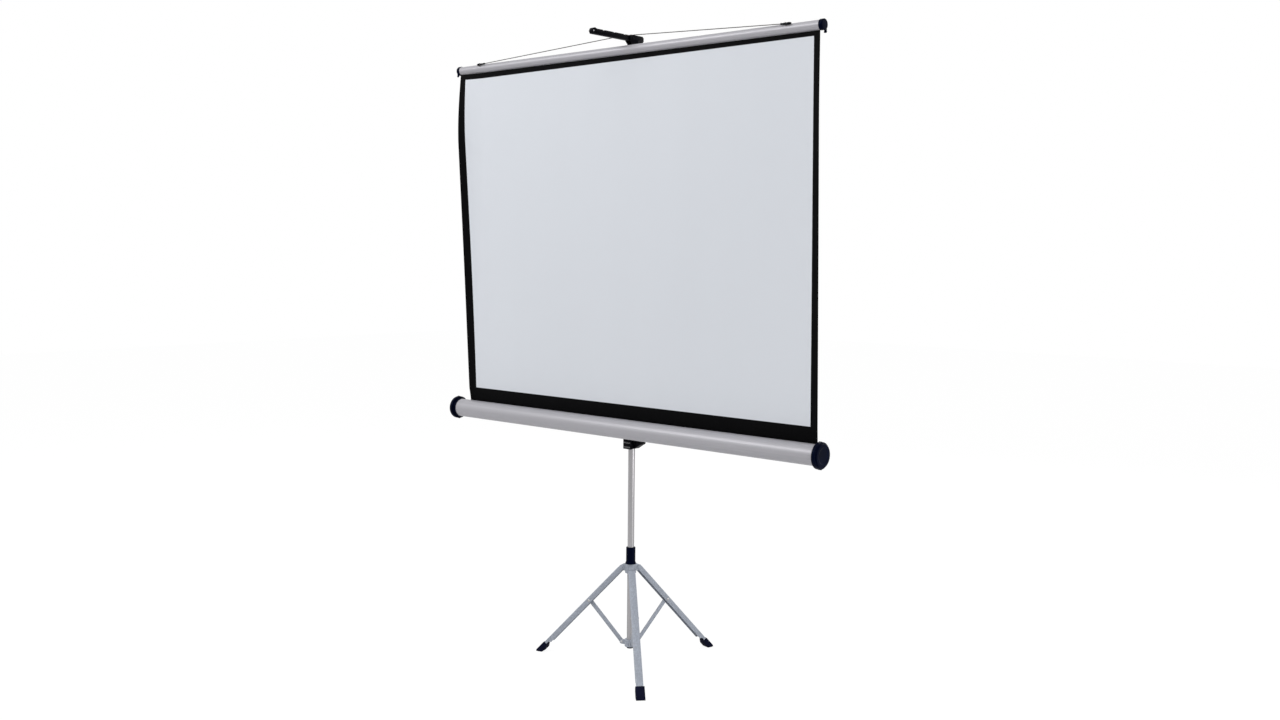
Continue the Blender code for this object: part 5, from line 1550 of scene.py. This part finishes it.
@dataclass
class Mast:
    """The column and the two sections that slide out of it, with guides, the head and the keystone arm."""

    wall: float = 0.0012
    guide_ribs: int = 24
    rib_radius: float = 0.0006
    rib_sink: float = 0.0002
    rib_share: float = 0.5
    rib_height: float = 0.58
    guide_wall: float = 0.0029
    guide_shoulder: float = 0.0077
    guide_taper: float = 0.006
    slide_gap: float = 0.0004
    rounding: float = 0.0010
    plug_rounding: float = 0.0009
    arm_pin: Pin = Pin(0.0025, 0.0240, 0.0042, 0.0014)
    tip_pin: Pin = Pin(0.0012, 0.0160, 0.0020, 0.0005)
    tip_inset: float = 0.0062
    tip_rise: float = 0.001

    def build(self) -> None:
        """Makes the mast's pieces."""
        for body in ("column", "mast_lower", "mast_upper"):
            node = f"{body}_tube"
            low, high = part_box(node)
            outer = half(node).x
            profile = tube_profile(outer - self.wall, outer, low.z, high.z)
            turned(f"{node}_drawn", profile, upright(node), POLE_ALUMINIUM, body, Slot.ALUMINIUM, node)
        self.guide("column_guide", "column", "mast_lower_tube")
        self.guide("mast_guide", "mast_lower", "mast_upper_tube")
        self.plug()
        moulding("mast_head_moulding", "mast_head", 0.0010, "mast_upper")
        pin, arm = middle("arm_pin"), middle("keystone_arm")
        self.arm_pin.build("arm_rivet", [(pin, ACROSS)], BLACK_PLASTIC, "mast_upper", ("arm_pin",))
        moulding("keystone_arm_moulding", "keystone_arm", 0.0014, "arm")
        tip = Vector((arm.x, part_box("keystone_arm")[0].y + self.tip_inset, pin.z + self.tip_rise))
        self.tip_pin.build("arm_tip_rivet", [(tip, ACROSS)], ZINC_STEEL, "arm")

    def guide(self, node: str, body: str, sliding: str) -> None:
        """A ribbed plastic guide on the upper end of a tube.

        Args:
            node: the guide's CAD node.
            body: the body that carries it.
            sliding: the tube that slides in it.
        """
        low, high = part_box(node)
        outer, inner = half(node).x, half(sliding).x + self.slide_gap
        seat, shoulder = outer - self.guide_wall + FIT, high.z - self.guide_shoulder
        profile = [
            (outer, high.z),
            (outer, low.z + self.guide_taper),
            (outer - self.rounding, low.z),
            (seat, low.z),
            (seat, shoulder),
            (inner, shoulder),
            (inner, high.z),
        ]
        look, stand = (BLACK_PLASTIC, body, Slot.BLACK_PLASTIC), upright(node)
        turned(f"{node}_moulding", rounded(profile, self.rounding, 3), stand, *look, node)
        sizes = (self.guide_ribs, outer - self.rib_sink, self.rib_radius, (high.z - low.z) * self.rib_share)
        stand = stand @ Matrix.Translation((0.0, 0.0, low.z + (high.z - low.z) * self.rib_height))
        ribs(f"{node}_ribs", rib_ring(), sizes, stand, *look)

    def plug(self) -> None:
        """The plug in the column's lower end."""
        node = "column_plug"
        low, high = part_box(node)
        outer, seat = half(node).x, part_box("column_tube")[0].z - FIT
        bore = outer - self.wall - FIT
        profile = [(0.0, high.z), (bore, high.z), (bore, seat), (outer, seat), (outer, low.z), (0.0, low.z)]
        outline = rounded(profile, self.plug_rounding, 3, True)
        look = (BLACK_PLASTIC, "column", Slot.BLACK_PLASTIC)
        turned("column_plug_moulding", outline, upright(node), *look, node)


@dataclass
class Carriage:
    """The block that clamps the column, with its banded front, and the lock lever."""

    band_radius: float = 0.0026
    band_pitch: float = 0.0150
    band_length: float = 0.0300
    band_rise: float = 0.0068
    band_sink: float = 0.4
    plate_half: float = 0.0178
    plate_front: float = 0.0250
    plate_back: float = 0.0170
    plate_height: float = 0.042
    plate_corner: float = 0.0030
    plate_bevel: float = 0.0009
    slope_start: float = 0.0085
    slope_rise: float = 0.35
    slope_reach: float = 0.004
    pin: Pin = Pin(0.0018, 0.0312, 0.0034, 0.0010)

    def build(self) -> None:
        """Makes the carriage's pieces."""
        block = refined("carriage_moulding", "carriage_block", 0.0010)
        self.slope(block)
        present(block, BLACK_PLASTIC, "carriage", ("carriage_block",))
        moulding("lock_lever_moulding", "lock_lever", 0.0016, "lever")
        marks = [(middle("lever_pin"), Vector((0.0, 1.0, 0.0)))]
        self.pin.build("lever_rivet", marks, BLACK_PLASTIC, "carriage", ("lever_pin",))
        self.plate()
        self.bands()

    def slope(self, block: bpy.types.Object) -> None:
        """Lets the block's lower end rise towards its back."""
        low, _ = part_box("carriage_block")
        start = middle("column_tube").y - self.slope_start
        for vertex in block.data.vertices:
            if vertex.co.z < low.z + self.slope_reach:
                vertex.co.z += max(0.0, vertex.co.y - start) * self.slope_rise

    def plate(self) -> None:
        """The plate on the lower part of the block's front."""
        low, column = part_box("carriage_block")[0].z, middle("column_tube")
        side, front, back = self.plate_half, column.y - self.plate_front, column.y - self.plate_back
        corners = rounded([(-side, front), (side, front), (side, back), (-side, back)], self.plate_corner, 4)
        inset, top = self.plate_bevel, low + self.plate_height
        centre = Vector((0.0, (front + back) / 2.0))
        rings = []
        for shrink, z in ((inset, low), (0.0, low + inset), (0.0, top), (inset, top + inset)):
            points = [centre + (Vector(corner) - centre) * (1.0 - shrink / side) for corner in corners]
            rings.append([Vector((x, y, z)) for x, y in points])
        bm = bmesh.new()
        add_loft(bm, rings)
        present(mesh_piece("carriage_front_plate", bm), BLACK_PLASTIC, "carriage")

    def bands(self) -> None:
        """Two ribs across the plate, their pale grey colour a painted highlight."""
        sizes = (2, self.band_pitch, self.band_radius, self.band_length)
        y = middle("column_tube").y - self.plate_front + self.band_radius * self.band_sink
        stand = Matrix.Translation((0.0, y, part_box("carriage_block")[0].z + self.band_rise))
        stand = stand @ Matrix(((0, 0, 1, 0), (0, -1, 0, 0), (1, 0, 0, 0), (0, 0, 0, 1)))
        ribs("carriage_bands", rib_row(), sizes, stand, PAINTED_HIGHLIGHT_RIB_PLASTIC, "carriage", Slot.BLACK_PLASTIC)


@dataclass
class Tripod:
    """The hub with its sleeve, three channel legs with their boots, three struts and the collar."""

    legs: int = 3
    sleeve_radius: float = 0.016
    sleeve_flare: float = 0.008
    sleeve_brim: float = 0.0012
    sleeve_rounding: float = 0.0014
    leg_pin: Pin = Pin(0.003, 0.0246, 0.0052, 0.0016)
    strut_rivet: Pin = Pin(0.0025, 0.0246, 0.0042, 0.0013)
    collar_pin: Pin = Pin(0.0018, 0.0080, 0.0038, 0.0012)
    hub_rivet: Pin = Pin(0.0012, 0.0040, 0.0026, 0.0010)
    hub_rivet_reach: float = 0.0255
    hub_rivet_height: float = 0.3445
    hub_rivet_lean: float = 0.6

    def __post_init__(self) -> None:
        """Reads where the column stands on the floor."""
        self.foot = middle("column_tube")
        self.foot.z = 0.0

    def outwards(self, number: int) -> Vector:
        """The level direction that a leg points in."""
        way = middle(f"leg_pin_{number}") - self.foot
        return Vector((way.x, way.y, 0.0)).normalized()

    def sideways(self, number: int) -> Vector:
        """The level direction across a leg."""
        return self.outwards(number).cross(UP)

    def build(self) -> None:
        """Makes the tripod's pieces."""
        numbers = range(1, self.legs + 1)
        moulding("hub_star", "hub_bracket", 0.0007, "hub", HAMMER_PAINT)
        self.sleeve()
        pins = [f"leg_pin_{n}" for n in numbers]
        marks = [(middle(node), self.sideways(n)) for node, n in zip(pins, numbers)]
        self.leg_pin.build("leg_rivets", marks, HAMMER_PAINT, "hub", pins)
        level = self.foot + UP * self.hub_rivet_height
        ways = [self.outwards(n) for n in numbers]
        lean = UP * self.hub_rivet_lean
        marks = [(level + way * self.hub_rivet_reach, (way + lean).normalized()) for way in ways]
        self.hub_rivet.build("hub_rivets", marks, ZINC_STEEL, "hub")
        moulding("collar_casting", "strut_collar", 0.0003, "column", HAMMER_PAINT)
        level = self.foot + UP * middle("strut_collar").z
        reach = (middle("leg_pin_1") - self.foot).to_2d().length
        marks = [(level + way * reach, way.cross(UP)) for way in ways]
        self.collar_pin.build("collar_rivets", marks, ZINC_STEEL, "column")
        for number in numbers:
            self.leg(number)

    def sleeve(self) -> None:
        """The sleeve above the hub, flared at its foot."""
        low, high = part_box("hub_sleeve")
        flare, bore = half("hub_sleeve").x, half("column_tube").x + FIT
        profile = [
            (self.sleeve_radius, high.z),
            (self.sleeve_radius, low.z + self.sleeve_flare),
            (flare, low.z + self.sleeve_brim),
            (flare, low.z),
            (bore, low.z),
            (bore, high.z),
        ]
        outline, look = rounded(profile, self.sleeve_rounding, 4), (NAVY_PLASTIC, "hub", Slot.BLACK_PLASTIC)
        turned("hub_sleeve_moulding", outline, upright("hub_sleeve"), *look, "hub_sleeve")

    def leg(self, number: int) -> None:
        """One leg, 1 to 3, with its boot, its strut and the rivet between them."""
        leg, strut, shoe, rivet = (f"{word}_{number}" for word in ("leg", "strut", "leg_shoe", "strut_rivet"))
        moulding(f"leg_channel_{number}", leg, 0.0006, leg, HAMMER_PAINT)
        moulding(f"strut_bar_{number}", strut, 0.0005, strut, HAMMER_PAINT)
        moulding(f"boot_{number}", shoe, 0.0006, leg, BOOT_RUBBER)
        marks = [(middle(rivet), self.sideways(number))]
        self.strut_rivet.build(f"leg_rivet_{number}", marks, ZINC_STEEL, leg, (rivet,))


NODE_FINISHES = {
    ("case_tube", "batten_tube"): CASE_ALUMINIUM,
    ("column_tube", "mast_lower_tube", "mast_upper_tube"): POLE_ALUMINIUM,
    ("case_cap", "batten_cap"): NAVY_PLASTIC,
    ("leg_shoe",): BOOT_RUBBER,
    ("leg_pin", "strut_rivet", "arm_pin", "lever_pin", "swivel_bolt", "gudgeon_pin"): ZINC_STEEL,
    ("spring_arbor", "roller_tube", "roller_spring", "bail_eye"): ZINC_STEEL,
    ("leg_", "strut_", "hub_bracket"): HAMMER_PAINT,
    ("screen_fabric", "wound_fabric"): BLACK_BACKING,
    ("bail_cord",): TWISTED_CORD,
}


def dress_nodes() -> None:
    """Gives every CAD node its finish by the start of its name, for those that stay shown."""
    for name, node in frame["nodes"].items():
        fitting = (finish for starts, finish in NODE_FINISHES.items() if name.startswith(starts))
        node.data.materials.clear()
        node.data.materials.append(paint(next(fitting, BLACK_PLASTIC)))


def main() -> None:
    """Builds the scene in order."""
    logging.basicConfig(level=logging.INFO, format="%(message)s")
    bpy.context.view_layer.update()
    Studio().build()
    dress_nodes()
    for assembly in (ScreenCloth, Case, Roller, Batten, Mast, Carriage, Tripod):
        assembly().build()


if __name__ == "__main__":
    main()
